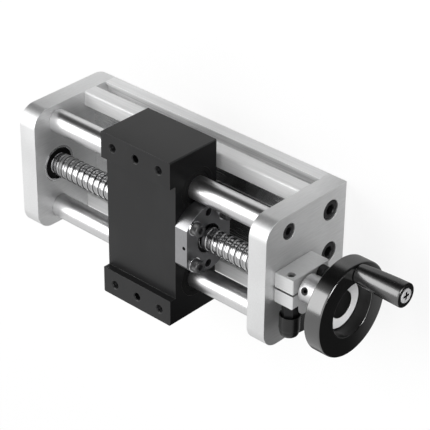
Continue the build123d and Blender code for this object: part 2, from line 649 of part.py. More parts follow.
def lever_tip_screw():
    """The bright screw that holds the lever on its insert."""
    hub_end = lever_hub_top() - LEVER_HUB_LENGTH
    tip = hub_end - LEVER_TIP_SCREW_STANDOUT
    screw = bar(LEVER_TIP_SCREW_DIAMETER / 2, lever_point(hub_end + LEVER_TIP_SCREW_LENGTH), lever_point(tip))
    slot_half = LEVER_TIP_SCREW_DIAMETER / 10
    x_range = (LEVER_X - LEVER_TIP_SCREW_DIAMETER, LEVER_X + LEVER_TIP_SCREW_DIAMETER)
    z_range = (LEVER_AXIS_HEIGHT - slot_half, LEVER_AXIS_HEIGHT + slot_half)
    return screw - slab(x_range, (tip, hub_end), z_range)


def around_axis(radius, angle):
    """Y and Z at a radius and an angle from +Y about the screw axis."""
    turn = math.radians(angle)
    return radius * math.cos(turn), AXIS_HEIGHT + radius * math.sin(turn)


def set_screw_span(outer_radius, inner_radius):
    """The end points of the set screw or its hole."""
    x = SLEEVE_START + SET_SCREW_FROM_SLEEVE_END
    outer = (x, *around_axis(outer_radius, SET_SCREW_ANGLE))
    inner = (x, *around_axis(inner_radius, SET_SCREW_ANGLE))
    return outer, inner


def hub_sleeve():
    """The bright sleeve between the shaft and the wheel."""
    radius = SLEEVE_DIAMETER / 2
    sleeve = axle(radius, SLEEVE_START, WHEEL_FLOOR)
    sleeve = chamfer(sleeve.edges().group_by(Axis.X)[0], SLEEVE_EDGE_CHAMFER)
    sleeve -= axle(SHAFT_DIAMETER / 2 + SLEEVE_BORE_CLEARANCE, SLEEVE_START, WHEEL_FLOOR)
    hole = bar(SET_SCREW_DIAMETER / 2 + THREAD_CLEARANCE, *set_screw_span(radius + 1.0, 0.0))
    return sleeve - hole


def sleeve_set_screw():
    """The set screw that holds the sleeve on the shaft."""
    start_radius = SLEEVE_DIAMETER / 2 - SET_SCREW_INSET
    outer, inner = set_screw_span(start_radius, start_radius - SET_SCREW_LENGTH)
    screw = bar(SET_SCREW_DIAMETER / 2, outer, inner)
    socket_plane = Plane(origin=outer, z_dir=Vector(*inner) - Vector(*outer))
    socket = RegularPolygon(SET_SCREW_SOCKET / 2, 6, major_radius=False)
    return screw - extrude(socket_plane * socket, SET_SCREW_LENGTH / 2)


def handle_axis():
    """Y and Z of the handle's axis."""
    return around_axis(HANDLE_ORBIT_RADIUS, HANDLE_ANGLE)


def handwheel():
    """The wheel: a wide rim round a dish, with a boss behind."""
    rim = axle(WHEEL_DIAMETER / 2, WHEEL_BACK, WHEEL_FACE)
    edges = rim.edges().filter_by(GeomType.CIRCLE).group_by(Axis.X)
    rim = fillet(edges[-1], WHEEL_FACE_EDGE_RADIUS)
    rim = fillet(rim.edges().filter_by(GeomType.CIRCLE).group_by(Axis.X)[0], WHEEL_BACK_EDGE_RADIUS)
    dish_depth = WHEEL_FACE - WHEEL_FLOOR
    dish = Cone(WHEEL_DISH_FLOOR_DIAMETER / 2, WHEEL_DISH_DIAMETER / 2, dish_depth)
    dish_middle = (WHEEL_FACE + WHEEL_FLOOR) / 2
    wheel = rim - Pos(dish_middle, 0, AXIS_HEIGHT) * Rot(0, 90, 0) * dish
    wheel += axle(WHEEL_BOSS_DIAMETER / 2, WHEEL_BACK - WHEEL_BOSS_LENGTH, WHEEL_FLOOR)
    bore = SLEEVE_DIAMETER / 2 + WHEEL_BORE_CLEARANCE
    wheel -= axle(bore, WHEEL_BACK - WHEEL_BOSS_LENGTH, WHEEL_FLOOR)
    y, z = handle_axis()
    tapped = AXLE_THREAD_DIAMETER / 2 + THREAD_CLEARANCE
    return wheel - axle(tapped, WHEEL_FACE, WHEEL_FACE - AXLE_THREAD_LENGTH, y, z)


def hub_ring():
    """The bright ring on the floor of the wheel's dish."""
    end = WHEEL_FLOOR + HUB_RING_THICKNESS
    return ring(HUB_RING_OUTER_DIAMETER / 2, HUB_RING_INNER_DIAMETER / 2, WHEEL_FLOOR, end)


def hub_cap():
    """The black cap over the end of the shaft."""
    cap = axle(HUB_CAP_DIAMETER / 2, WHEEL_FLOOR, WHEEL_FLOOR + HUB_CAP_THICKNESS)
    return fillet(cap.edges().group_by(Axis.X)[-1], HUB_CAP_THICKNESS / 2)


def handle_span():
    """X of the handle's foot and of its far end."""
    foot = WHEEL_FACE + HANDLE_RIM_GAP
    return foot, foot + HANDLE_LENGTH


def axle_head_seat():
    """X at which the axle's head bears on the grip."""
    return handle_span()[1] + AXLE_HEAD_STANDOUT - AXLE_HEAD_THICKNESS


def handle_grip():
    """The grip, which widens from its foot to a rounded end."""
    foot, end = handle_span()
    y, z = handle_axis()
    length = end - foot
    foot_edge = (0, HANDLE_FOOT_DIAMETER / 2)
    waist = (HANDLE_WAIST_POSITION, HANDLE_WAIST_DIAMETER / 2)
    end_edge = (length, HANDLE_DIAMETER / 2)
    flank = Spline([foot_edge, waist, end_edge])
    outline = make_face([flank, Polyline([end_edge, (length, 0), (0, 0), foot_edge])])
    grip_plane = Plane(origin=(foot, y, z), x_dir=(1, 0, 0), z_dir=(0, 0, 1))
    grip = revolve(grip_plane * outline, Axis((foot, y, z), (1, 0, 0)))
    grip = fillet(grip.edges().group_by(Axis.X)[-1], HANDLE_END_RADIUS)
    grip -= axle(AXLE_DIAMETER / 2 + AXLE_CLEARANCE, foot, end, y, z)
    head_room = AXLE_HEAD_DIAMETER / 2 + AXLE_HEAD_CLEARANCE
    return grip - axle(head_room, axle_head_seat() - AXLE_HEAD_CLEARANCE, end, y, z)


def handle_axle():
    """The shoulder screw that the grip turns on, with a cross recess in its head."""
    y, z = handle_axis()
    end = handle_span()[1] + AXLE_HEAD_STANDOUT
    axle_screw = axle(AXLE_DIAMETER / 2, WHEEL_FACE, end, y, z)
    thread_end = WHEEL_FACE - AXLE_THREAD_LENGTH + THREAD_CLEARANCE
    axle_screw += axle(AXLE_THREAD_DIAMETER / 2, thread_end, WHEEL_FACE, y, z)
    head = axle(AXLE_HEAD_DIAMETER / 2, axle_head_seat(), end, y, z)
    axle_screw += fillet(head.edges().group_by(Axis.X)[-1], AXLE_HEAD_STANDOUT)
    half_length = AXLE_RECESS_LENGTH / 2
    half_width = AXLE_RECESS_WIDTH / 2
    x_range = (end - AXLE_RECESS_DEPTH, end)
    axle_screw -= slab(x_range, (y - half_length, y + half_length), (z - half_width, z + half_width))
    return axle_screw - slab(x_range, (y - half_width, y + half_width), (z - half_length, z + half_length))


def build_pieces():
    """Every piece of the stage, by the name of its node."""
    rod_places = [-ROD_Y, ROD_Y]
    pieces = {
        "left_end_plate": left_end_plate(),
        "right_end_plate": right_end_plate(),
        "base_profile": base_profile(),
        "guide_rod_front": guide_rod(-ROD_Y),
        "guide_rod_back": guide_rod(ROD_Y),
        "rod_screws": plate_screws(ROD_SCREW_SIZE, ROD_SCREW_LENGTH, rod_places, AXIS_HEIGHT),
        "base_screws": plate_screws(
            BASE_SCREW_SIZE, BASE_SCREW_LENGTH, base_screw_places(), BASE_SCREW_HEIGHT
        ),
        "ball_screw": ball_screw(),
        "carriage_block": carriage_block(),
        "bushing_seals": bushing_seals(),
        "ball_nut": ball_nut(),
        "nut_wipers": nut_wipers(),
        "nut_screws": nut_screws(),
        "nut_washers": nut_washers(),
        "clamp_block": clamp_block(),
        "clamp_block_screws": clamp_block_screws(),
        "clamp_lever": clamp_lever(),
        "lever_insert": lever_insert(),
        "lever_tip_screw": lever_tip_screw(),
        "hub_sleeve": hub_sleeve(),
        "sleeve_set_screw": sleeve_set_screw(),
        "handwheel": handwheel(),
        "hub_ring": hub_ring(),
        "hub_cap": hub_cap(),
        "handle_axle": handle_axle(),
        "handle_grip": handle_grip(),
    }
    for name, side in (("left", -1), ("right", 1)):
        pieces[name + "_bearing_outer_ring"] = bearing_outer_ring(side)
        pieces[name + "_bearing_inner_ring"] = bearing_inner_ring(side)
        pieces[name + "_bearing_seals"] = bearing_seals(side)
        pieces["bushing_front_" + name] = bushing(-ROD_Y, side)
        pieces["bushing_back_" + name] = bushing(ROD_Y, side)
    return pieces


os.makedirs("parts", exist_ok=True)
for node, shape in build_pieces().items():
    export_step(shape, "parts/" + node + ".step")
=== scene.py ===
import math

import bmesh
import bpy
import numpy as np
from mathutils import Matrix


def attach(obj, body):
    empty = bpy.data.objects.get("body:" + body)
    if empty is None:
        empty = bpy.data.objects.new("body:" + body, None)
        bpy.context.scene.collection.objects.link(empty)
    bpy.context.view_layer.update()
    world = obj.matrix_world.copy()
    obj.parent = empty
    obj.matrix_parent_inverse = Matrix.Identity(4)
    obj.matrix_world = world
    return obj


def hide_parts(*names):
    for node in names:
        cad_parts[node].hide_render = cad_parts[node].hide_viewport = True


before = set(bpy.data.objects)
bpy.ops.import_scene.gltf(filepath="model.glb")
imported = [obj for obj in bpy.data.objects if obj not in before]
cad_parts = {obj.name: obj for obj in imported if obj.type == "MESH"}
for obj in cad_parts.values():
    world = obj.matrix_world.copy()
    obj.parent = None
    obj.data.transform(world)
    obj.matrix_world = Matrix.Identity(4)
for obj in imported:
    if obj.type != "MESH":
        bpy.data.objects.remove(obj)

bl_info = {
    "name": "Linear stage",
    "version": (1, 0, 0),
    "blender": (4, 5, 0),
    "location": "View3D > Sidebar > Linear stage",
    "description": "Surfaces and finishes of a manual linear stage with a ball screw and a handwheel",
    "category": "Add Mesh",
}

# Places in the frame, in metres: X runs along the screw, Z is up.
MM = 0.001
AXIS_HEIGHT = 54 * MM
ROD_Y = 33 * MM
PLATE_FACE = 108 * MM
CARRIAGE_X = 2.5 * MM
LIP_HOLES = (20 * MM, 51.5 * MM, 78.7 * MM)
NUT_FACE = 42.5 * MM
NUT_SCREW_CIRCLE = 19 * MM
BLOCK_FACE = 123 * MM
BLOCK_SCREWS = (5.5 * MM, 40.702 * MM)
SET_SCREW_X = 128.7 * MM
SET_SCREW_TURN = math.radians(68.0)
HANDLE_PLACE = (24.0975 * MM, 49.5773 * MM)
LEVER_X = 117.4 * MM
LEVER_HEIGHT = 61.9 * MM
LEVER_HUB_TOP = -18.5 * MM
FLOOR_GAP = 0.4 * MM
ALONG_X = (1, 0, 0)
UPWARD = (0, 0, 1)
SCREW_AXIS = (0, 0, AXIS_HEIGHT)

# A face looks along an axis where that part of its normal is above SQUARE_ON, and across the axis where
# it is below EDGE_ON.
SQUARE_ON = 0.9
EDGE_ON = 0.1

# Points nearer than WELD are joined. Two faces are made one below FLAT_LIMIT, are shaded as one surface
# below SHARP_LIMIT, and have the edge between them broken above BEVEL_LIMIT.
WELD = 2e-7
FLAT_LIMIT = math.radians(0.4)
SHARP_LIMIT = math.radians(32)
BEVEL_LIMIT = math.radians(33)
WHITE = (1, 1, 1, 1)


def length_setting(name, description, default, low, high):
    """A length that a user can change, with its limits, all in millimetres."""
    return bpy.props.FloatProperty(
        name=name, description=description, default=default * MM, min=low * MM, max=high * MM,
        precision=4, unit="LENGTH")


def colour_setting(name, description, default):
    """A colour that a user can change."""
    return bpy.props.FloatVectorProperty(
        name=name, description=description, default=default, size=3, min=0, max=1, subtype="COLOR")


def light_setting(name, description, default, high, **kind):
    """A power or a brightness that a user can change."""
    return bpy.props.FloatProperty(
        name=name, description=description, default=default, min=0, max=high, **kind)


class StageSizes(bpy.types.PropertyGroup):
    """Sizes of the fine detail."""

    lead: length_setting("Lead", "How far the carriage goes in one turn of the screw", 5, 1, 20)
    groove_depth: length_setting("Groove depth", "Depth of the ball screw's groove", 0.95, 0.2, 2)
    groove_width: length_setting("Groove width", "Width of the groove at the screw's crest", 2.6, 1, 4.5)
    groove_start: length_setting(
        "Groove start", "Distance from the middle of the screw back to the middle of a crest", 1.5, 0, 5)
    plate_edge: length_setting(
        "Plate edge", "Width of the broken edges of the plates, twice the profile's", 0.22, 0.05, 2)
    small_edge: length_setting(
        "Small edge", "Width of the broken edges of the carriage and nut, twice the block's", 0.3, 0.05, 1)
    knurl_teeth: bpy.props.IntProperty(
        name="Knurl teeth", description="Ridges round the head of a cap screw, in threes",
        default=36, min=12, max=72, step=3)
    knurl_depth: length_setting("Knurl depth", "Depth of the ridges round the head", 0.22, 0.02, 0.5)
    bolt_pitch: length_setting("Bolt pitch", "Pitch of the threads in the carriage's lips", 1, 0.3, 2)


class StageColours(bpy.types.PropertyGroup):
    """Colours of the finishes."""

    plate: colour_setting("Plates", "Clear anodised plates and clamp block", (0.80, 0.803, 0.805))
    profile: colour_setting("Profile", "Clear anodised extruded base", (0.84, 0.843, 0.845))
    rod: colour_setting("Rods", "Ground and polished steel of the guide rods", (0.74, 0.74, 0.745))
    thread: colour_setting("Screw", "Ground steel of the ball screw", (0.52, 0.52, 0.525))
    bearing: colour_setting("Bearings", "Steel of the bearings and bushings", (0.62, 0.62, 0.63))
    nut: colour_setting("Nut", "Darker ground steel of the ball nut", (0.38, 0.38, 0.39))
    bright: colour_setting("Bright parts", "Plated sleeve, ring, washers and axle", (0.86, 0.86, 0.87))
    carriage: colour_setting("Carriage", "Black anodised carriage", (0.011, 0.011, 0.0115))
    oxide: colour_setting("Black screws", "Black oxide of the cap screws", (0.018, 0.018, 0.019))
    cap_steel: colour_setting("Nut screws", "Dark steel of the nut's cap screws", (0.035, 0.035, 0.036))
    rubber: colour_setting("Seals", "Rubber of the seals and wipers", (0.006, 0.006, 0.006))
    lever: colour_setting("Lever", "Black coating of the clamp lever", (0.009, 0.009, 0.009))
    wheel: colour_setting("Wheel", "Black plastic of the wheel and its handle", (0.004, 0.004, 0.004))


class StageLight(bpy.types.PropertyGroup):
    """Strength of the studio's light."""

    overhead: light_setting("Overhead lamp", "Power of the lamp above the stage", 7.2, 200, unit="POWER")
    fill: light_setting("Fill lamp", "Power of the soft lamp at the wheel's end", 3.8, 200, unit="POWER")
    wall: light_setting(
        "Wall", "Brightness behind the camera, where white is 1", 0.02, 1, subtype="FACTOR")
    ceiling: light_setting(
        "Ceiling", "Brightness overhead and behind the stage, where white is 1", 0.78, 1, subtype="FACTOR")


def unit(vector):
    """The vector at length one."""
    vector = np.asarray(vector, float)
    return vector / np.linalg.norm(vector)


def turning_frame(axis):
    """The axis with two directions across it, so that side to up is a quarter turn about the axis."""
    axis = unit(axis)
    reference = UPWARD if abs(axis[2]) < 0.9 else ALONG_X
    side = unit(np.cross(reference, axis))
    return axis, side, np.cross(axis, side)


def grid_faces(rows, columns, closed=False, wrapped=True):
    """The four corners of each cell of a grid. Wrapped joins its last column to its first, and closed
    its last row to its first."""
    row = np.arange(rows if closed else rows - 1)[:, None]
    column = np.arange(columns if wrapped else columns - 1)[None, :]
    next_row = (row + 1) % rows
    next_column = (column + 1) % columns
    corners = [(row, column), (row, next_column), (next_row, next_column), (next_row, column)]
    return np.stack([r * columns + c for r, c in corners], axis=-1).reshape(-1, 4)


def angles(columns):
    """One angle for each column, right round."""
    return np.linspace(0, 2 * np.pi, columns, endpoint=False)[None, :]


def rings(along, radius, centre=SCREW_AXIS, axis=ALONG_X, columns=72, closed=False):
    """Rings of points round an axis: centre plus along times the axis, plus radius times the cosine of
    the angle to one side and its sine upwards. Along and radius are one number a ring, or one a point."""
    along = np.asarray(along, float)
    radius = np.asarray(radius, float)
    along = along[:, None] if along.ndim == 1 else along
    radius = radius[:, None] if radius.ndim == 1 else radius
    along, radius, angle = np.broadcast_arrays(along, radius, angles(columns))
    axis, side, up = turning_frame(axis)
    points = np.asarray(centre, float) + along[..., None] * axis
    points = points + (radius * np.cos(angle))[..., None] * side
    points = points + (radius * np.sin(angle))[..., None] * up
    return points.reshape(-1, 3), grid_faces(len(along), columns, closed)


def eased(outline, reach, closed, steps):
    """The outline with each corner swapped for a short curve: from a point on one leg to a point on the
    other, as a quadratic whose middle control point is the corner. Reach is one length or one a corner."""
    corner = np.asarray(outline, float)
    back = np.roll(corner, 1, axis=0) - corner
    ahead = np.roll(corner, -1, axis=0) - corner
    back_length = np.linalg.norm(back, axis=1, keepdims=True)
    ahead_length = np.linalg.norm(ahead, axis=1, keepdims=True)
    reach = np.broadcast_to(np.asarray(reach, float).reshape(-1, 1), back_length.shape)
    reach = np.minimum(reach, 0.45 * np.minimum(back_length, ahead_length))
    start = corner + back / back_length * reach
    end = corner + ahead / ahead_length * reach
    share = np.linspace(0, 1, steps)[None, :, None]
    curve = (1 - share) ** 2 * start[:, None] + 2 * share * (1 - share) * corner[:, None]
    curve = curve + share**2 * end[:, None]
    if closed:
        return curve.reshape(-1, 2)
    return np.concatenate([corner[:1], curve[1:-1].reshape(-1, 2), corner[-1:]])


def turned(outline, reach, centre=SCREW_AXIS, columns=72, closed=False, steps=4, axis=ALONG_X):
    """A turned piece: the outline, as distance along the axis and radius in millimetres, carried round
    the axis with its corners eased by the reach."""
    rows = eased(np.asarray(outline, float) * MM, reach, closed, steps)
    return rings(rows[:, 0], rows[:, 1], centre, axis, columns, closed)


def tube(start, end, outer, inner, reach, centre=SCREW_AXIS, columns=72):
    """A turned ring between two distances and two radii, in millimetres."""
    outline = [(start, inner), (start, outer), (end, outer), (end, inner)]
    return turned(outline, reach, centre, columns, closed=True)


def joined(shapes):
    """Several shapes as one."""
    shapes = list(shapes)
    starts = np.cumsum([0] + [len(points) for points, faces in shapes[:-1]])
    points = np.concatenate([points for points, faces in shapes])
    faces = np.concatenate([faces + start for (points, faces), start in zip(shapes, starts)])
    return points, faces


def circle(radius, turn):
    """The same radius at every angle."""
    return radius + 0 * turn


def hexagon(half_flats, turn):
    """Distance to a hexagon's edge at each angle: half its width across flats over the cosine of the
    angle from the middle of the nearest flat."""
    return half_flats / np.cos((turn + np.pi / 6) % (np.pi / 3) - np.pi / 6)


def cross(radius, turn, arm=0.27):
    """Distance to the edge of an upright cross at each angle: the end of an arm near its middle line,
    and the arm's side, at its share of the radius from that line, further from it."""
    from_arm = np.abs((turn + np.pi / 4) % (np.pi / 2) - np.pi / 4)
    return np.minimum(1 / np.cos(from_arm), arm / np.maximum(np.sin(from_arm), 1e-6)) * radius


def formed(profile, centre, axis, columns):
    """A turned piece with rows that needn't be round. The profile gives each row's distance along the
    axis, its radius, both in millimetres, and its edge where that isn't a circle: a function that takes
    the radius and the angles and gives the distance from the axis at each angle."""
    along = np.array([row[0] for row in profile]) * MM
    edges = [(row + (circle,))[2](row[1] * MM, angles(columns)) for row in profile]
    return rings(along, np.concatenate(edges), centre, axis, columns)


def cap_screw(size, seat, outward, sizes):
    """A socket head cap screw. Its rings go up the shank, out over the seat, up the head and down into
    the socket. The head's radius loses a knurl, a cosine with one wave a tooth, between two heights. Its
    columns are a multiple of twelve, so that they pass through the socket's corners."""
    columns = 4 * (sizes.knurl_teeth // 3) * 3
    head = (1.5 * size + 1.0) / 2
    flats = 0.4 * size

    def knurl(radius, turn):
        return radius - (0.5 - 0.5 * np.cos(sizes.knurl_teeth * turn)) * sizes.knurl_depth

    profile = [
        (-1.2 * size, 0), (-1.2 * size, 0.5 * size), (0, 0.5 * size), (0, head - 0.1), (0.08, head),
        (0.12 * size, head), (0.13 * size, head, knurl), (0.78 * size, head, knurl), (0.79 * size, head),
        (0.92 * size, head), (size, head - 0.08 * size), (size, head - 0.12 * size), (size, flats * 1.2),
        (0.95 * size, flats, hexagon), (0.5 * size, flats, hexagon), (0.5 * size, 0.5 * flats),
        (0.38 * size, 0),
    ]
    return formed(profile, seat, outward, columns)


def cap_screws(size, seats, sizes):
    """Cap screws at several seats, each a point and the direction that its head faces."""
    return joined(cap_screw(size, seat, outward, sizes) for seat, outward in seats)


def screw_thread(half_length, radius, end_radius, sizes, columns=72):
    """The ball screw's threaded length. Each row follows the helix, so distance along the axis is the
    row's own distance plus the lead times the share of a turn, held between the two ends. The radius is
    the crest's less the groove, half an ellipse over the groove's width in the middle of each lead, and
    it comes down to the shoulder's at the ends. Rows stand closest at the groove's two edges."""
    share = np.linspace(0, 1, columns + 1)[None, :]
    half_groove = sizes.groove_width / sizes.lead / 2
    edge = 0.5 - half_groove
    near_edge = edge + np.array([-0.02, -0.002, 0.0005, 0.004, 0.01, 0.022, 0.05, 0.12])
    phases = np.concatenate([[0, edge / 2], near_edge, [0.5]])
    phases = np.concatenate([phases, 1 - phases[-2:0:-1]])
    first = math.floor(-half_length / sizes.lead) - 1
    turns = np.arange(first, -first + 1)[:, None]
    leads = (turns + phases[None, :]).reshape(-1, 1)
    depth = sizes.groove_depth * np.clip(1 - ((leads % 1.0 - 0.5) / half_groove) ** 2, 0, 1) ** 0.5
    along = leads * sizes.lead + sizes.lead * share - sizes.groove_start
    room = np.clip(half_length - np.abs(along), 0, None)
    along = np.clip(along, -half_length, half_length)
    bore = np.minimum(radius - depth, end_radius + room)
    angle = 2 * np.pi * share
    points = np.stack([along, bore * np.cos(angle), AXIS_HEIGHT + bore * np.sin(angle)], axis=-1)
    return points.reshape(-1, 3), grid_faces(len(leads), columns + 1, wrapped=False)


def hole_thread(mouth, root, height, length, pitch, columns=36):
    """A thread inside a hole that opens upwards: the radius is the root's less a triangle wave of the
    distance down the hole in pitches plus the share of a turn. Its rows run down, six a pitch, so it
    faces inwards. It starts a little below the mouth, and its first pitch rises from nothing."""
    start = 0.9 * MM
    down = np.linspace(0, length, round(6 * length / pitch) + 1)[:, None]
    phase = (down / pitch + angles(columns) / (2 * np.pi)) % 1.0
    ridge = 1 - np.abs(2 * phase - 1)
    fade = np.clip(down / pitch, 0, 1)
    return rings(-down - start, root - height * ridge * fade, mouth, UPWARD, columns)


def rounded(wave):
    """A sine or cosine to a power below one, with its sign kept, which makes a circle nearly square."""
    return np.sign(wave) * np.abs(wave) ** 0.45


def tapered_arm(columns=48):
    """The lever's arm: rounded boxes along a line that drops and slopes away from the block. A box's
    point is its half width times the rounded cosine of the angle, and its half height times the rounded
    sine. The end closes as the same boxes shrink by the cosine of a quarter turn."""
    length, bulge, boxes = 44.0, 2.4, 10
    quarter = np.linspace(0, np.pi / 2, 8)[1:]
    straight = np.linspace(3, length - bulge, boxes)
    down = np.concatenate([[0, 0], straight, length - bulge + bulge * np.sin(quarter)])[:, None]
    scale = np.concatenate([[0, 1], np.ones(boxes), np.cos(quarter)])[:, None]
    share = down / length
    half_width = (5.0 - 1.0 * share) * scale
    half_height = (6.6 - 3.65 * share) * scale
    centre_y = -26.45 - 10.55 * share
    across = half_width * rounded(np.cos(angles(columns)))
    level = half_height * rounded(np.sin(angles(columns)))
    parts = (LEVER_X + across * MM, (centre_y - level) * MM, LEVER_HEIGHT - down * MM)
    points = np.stack(np.broadcast_arrays(*parts), axis=-1)
    return points.reshape(-1, 3), grid_faces(len(down), columns)[:, ::-1]


class Wire:
    """A socket in a node tree. Arithmetic on it adds Math nodes."""

    def __init__(self, tree, socket=None):
        self.tree = tree
        self.socket = socket

    def put(self, kind, settings=None, values=None, output=0):
        """Adds a node: its settings and a ramp's stops first, then its sockets by name or number."""
        node = self.tree.nodes.new(kind)
        for name, value in (settings or {}).items():
            if name == "stops":
                place_stops(node.color_ramp, value)
            else:
                setattr(node, name, value)
        for name, value in (values or {}).items():
            if isinstance(value, Wire):
                self.tree.links.new(value.socket, node.inputs[name])
            else:
                node.inputs[name].default_value = value
        return Wire(self.tree, node.outputs[output]) if node.outputs else Wire(self.tree)

    def maths(self, operation, *others):
        """A Math node on this value and the others."""
        return self.put("ShaderNodeMath", {"operation": operation}, dict(enumerate((self,) + others)))

    def __add__(self, other):
        return self.maths("ADD", other)

    __radd__ = __add__

    def __sub__(self, other):
        return self.maths("SUBTRACT", other)

    def __rsub__(self, other):
        return self.put("ShaderNodeMath", {"operation": "SUBTRACT"}, {0: other, 1: self})

    def __mul__(self, other):
        return self.maths("MULTIPLY", other)

    __rmul__ = __mul__

    def held(self):
        """The value kept between nothing and one."""
        return self.put("ShaderNodeMath", {"operation": "ADD", "use_clamp": True}, {0: self, 1: 0.0})

    def between(self, low, high):
        """A smooth rise from 0 at low to 1 at high."""
        limits = {0: self, 1: low, 2: high, 3: 0.0, 4: 1.0}
        return self.put("ShaderNodeMapRange", {"interpolation_type": "SMOOTHSTEP"}, limits)

    def moved(self, location=(0, 0, 0), scale=(1, 1, 1)):
        """These coordinates scaled, then moved."""
        values = {"Vector": self, "Location": location, "Scale": scale}
        return self.put("ShaderNodeMapping", None, values)

    def parts(self):
        """The three coordinates by themselves."""
        return [self.put("ShaderNodeSeparateXYZ", None, {0: self}, output=part) for part in "XYZ"]

    def noise(self, scale, stretch=(1, 1, 1), detail=3.0, rough=0.5):
        """Noise on these coordinates, stretched where a scale is small."""
        place = self.moved(scale=stretch)
        values = {"Vector": place, "Scale": scale, "Detail": detail, "Roughness": rough}
        return self.put("ShaderNodeTexNoise", None, values)

    def mix(self, first, second):
        """A colour between two, this value being the share of the second."""
        return self.put("ShaderNodeMix", {"data_type": "RGBA"}, {0: self, 6: first, 7: second}, output=2)

    def bump(self, strength, distance):
        """A normal from this height."""
        values = {"Strength": strength, "Distance": distance, "Height": self}
        return self.put("ShaderNodeBump", None, values)


def place_stops(ramp, stops):
    """Sets a colour ramp's stops, each a position and a grey."""
    while len(ramp.elements) < len(stops):
        ramp.elements.new(0.5)
    for element, (position, grey) in zip(ramp.elements, stops):
        element.position = position
        element.color = (grey, grey, grey, 1)


def shaded(colour, factor):
    """The colour times a factor, as four numbers."""
    return tuple(min(1.0, part * factor) for part in colour) + (1.0,)


def begin_finish(name):
    """A new material and the object's own coordinates in it."""
    material = bpy.data.materials.new(name)
    material.use_nodes = True
    material.node_tree.nodes.clear()
    return material, Wire(material.node_tree).put("ShaderNodeTexCoord", output="Object")


def end_finish(material, values):
    """Closes the material with its shader and output."""
    shader = Wire(material.node_tree).put("ShaderNodeBsdfPrincipled", None, values)
    shader.put("ShaderNodeOutputMaterial", None, {"Surface": shader})
    material.diffuse_color = (0.5, 0.5, 0.5, 1.0)
    return material


def made_once(make):
    """The same maker, which gives back the material of that name where there is one."""
    def find_or_make(name, *values, **settings):
        return bpy.data.materials.get(name) or make(name, *values, **settings)
    return find_or_make


@made_once
def metal_finish(name, colour, polish, grain, drawn=(1, 1, 1), cloud=25.0, lift=1.0, depth=0.02 * MM,
                 metal=1.0, relief=0.35, scratch=None, streaks=(0.93, 1.04)):
    """Metal with a fine grain, drawn out along one direction where its stretch is small, faint clouds in
    colour and gloss, and a shallow relief. Polish is the lowest and highest roughness, streaks the
    darkest and lightest share of the colour, scratch the scale of a relief finer than the grain."""
    material, place = begin_finish(name)
    fine = place.noise(grain, drawn, detail=4.0, rough=0.6)
    clouds = place.noise(cloud, detail=2.0)
    tone = (fine * 0.55 + clouds * 0.45).held()
    low, high = polish
    dark, light = streaks
    base = tone.between(0.3, 0.7).mix(shaded(colour, dark * lift), shaded(colour, light * lift))
    gloss = low + tone.between(0.25, 0.75) * (high - low)
    height = place.noise(scratch, drawn, detail=1.0) if scratch else fine
    return end_finish(material, {
        "Base Color": base, "Metallic": metal, "Roughness": gloss, "Normal": height.bump(relief, depth)})


@made_once
def thread_finish(name, colour, sizes):
    """Ground thread steel, with a painted shade line, darker and duller, along both edges of the groove.
    Those lie where the distance along the axis in leads, less the share of a turn, is half the groove's
    share of the lead from the middle of the groove."""
    material, place = begin_finish(name)
    x, y, z = place.moved((0, 0, -AXIS_HEIGHT)).parts()
    share = z.maths("ARCTAN2", y) * (0.5 / math.pi)
    leads = (x + sizes.groove_start) * (1.0 / sizes.lead) - share
    from_middle = (leads.maths("FRACT") - 0.5).maths("ABSOLUTE")
    from_edge = (from_middle - sizes.groove_width / sizes.lead / 2).maths("ABSOLUTE")
    # Painted shade: along the groove's edges the base colour falls to 0.15 of the steel's.
    flank = 1 - from_edge.between(0.02, 0.065)
    fine = place.noise(2600.0, (1.0, 0.12, 0.12))
    film = place.noise(160.0).between(0.35, 0.75)
    base = (1 - flank * 0.9 - film * 0.1).held().mix(shaded(colour, 0.15), shaded(colour, 1.0))
    gloss = 0.2 + flank * 0.12 + film * 0.06
    return end_finish(material, {
        "Base Color": base, "Metallic": 1.0, "Roughness": gloss, "Normal": fine.bump(0.2, 0.01 * MM)})


@made_once
def black_finish(name, colour, polish, grain, metal=0.0, lift=1.0, depth=0.02 * MM, level=0.5):
    """A black surface: fine pores, faint handling marks in the gloss, and a little relief. Level is how
    strongly its skin reflects, where 0.5 is plain plastic."""
    material, place = begin_finish(name)
    pores = place.noise(grain, detail=4.0, rough=0.65)
    marks = place.noise(38.0, (1, 0.6, 1), detail=4.0).between(0.4, 0.72)
    low, high = polish
    tone = (pores * 0.6 + marks * 0.4).between(0.3, 0.7)
    base = tone.mix(shaded(colour, 0.85 * lift), shaded(colour, 1.2 * lift))
    gloss = low + marks * (high - low) * 0.6 + pores * (high - low) * 0.4
    return end_finish(material, {
        "Base Color": base, "Metallic": metal, "Roughness": gloss, "Specular IOR Level": level,
        "Normal": pores.bump(0.3, depth)})


@made_once
def turned_black_finish(name, colour, polish, centre, spacing):
    """Black plastic with the faint rings of turning: a sine wave of the distance along the axis plus the
    radius from it."""
    material, place = begin_finish(name)
    x, y, z = place.moved((0, -centre[0], -centre[1])).parts()
    radius = (y * y + z * z).maths("SQRT")
    wave = ((x + radius) * (2 * math.pi / spacing)).maths("SINE")
    dust = place.noise(45.0, detail=5.0).between(0.42, 0.75)
    fine = place.noise(900.0)
    low, high = polish
    base = (dust * 0.7 + fine * 0.3).between(0.3, 0.8).mix(shaded(colour, 0.9), shaded(colour, 1.5))
    gloss = low + dust * (high - low) * 0.7 + fine * (high - low) * 0.3
    return end_finish(material, {
        "Base Color": base, "Roughness": gloss, "IOR": 2.3,
        "Normal": (wave * 0.7 + fine * 0.3).bump(0.1, 0.01 * MM)})


def merge(mesh, flatten):
    """Joins doubled points, and where flatten is set also the triangles of each flat face."""
    work = bmesh.new()
    work.from_mesh(mesh)
    bmesh.ops.remove_doubles(work, verts=work.verts, dist=WELD)
    if flatten:
        bmesh.ops.dissolve_limit(work, angle_limit=FLAT_LIMIT, verts=work.verts, edges=work.edges)
    work.to_mesh(mesh)
    work.free()


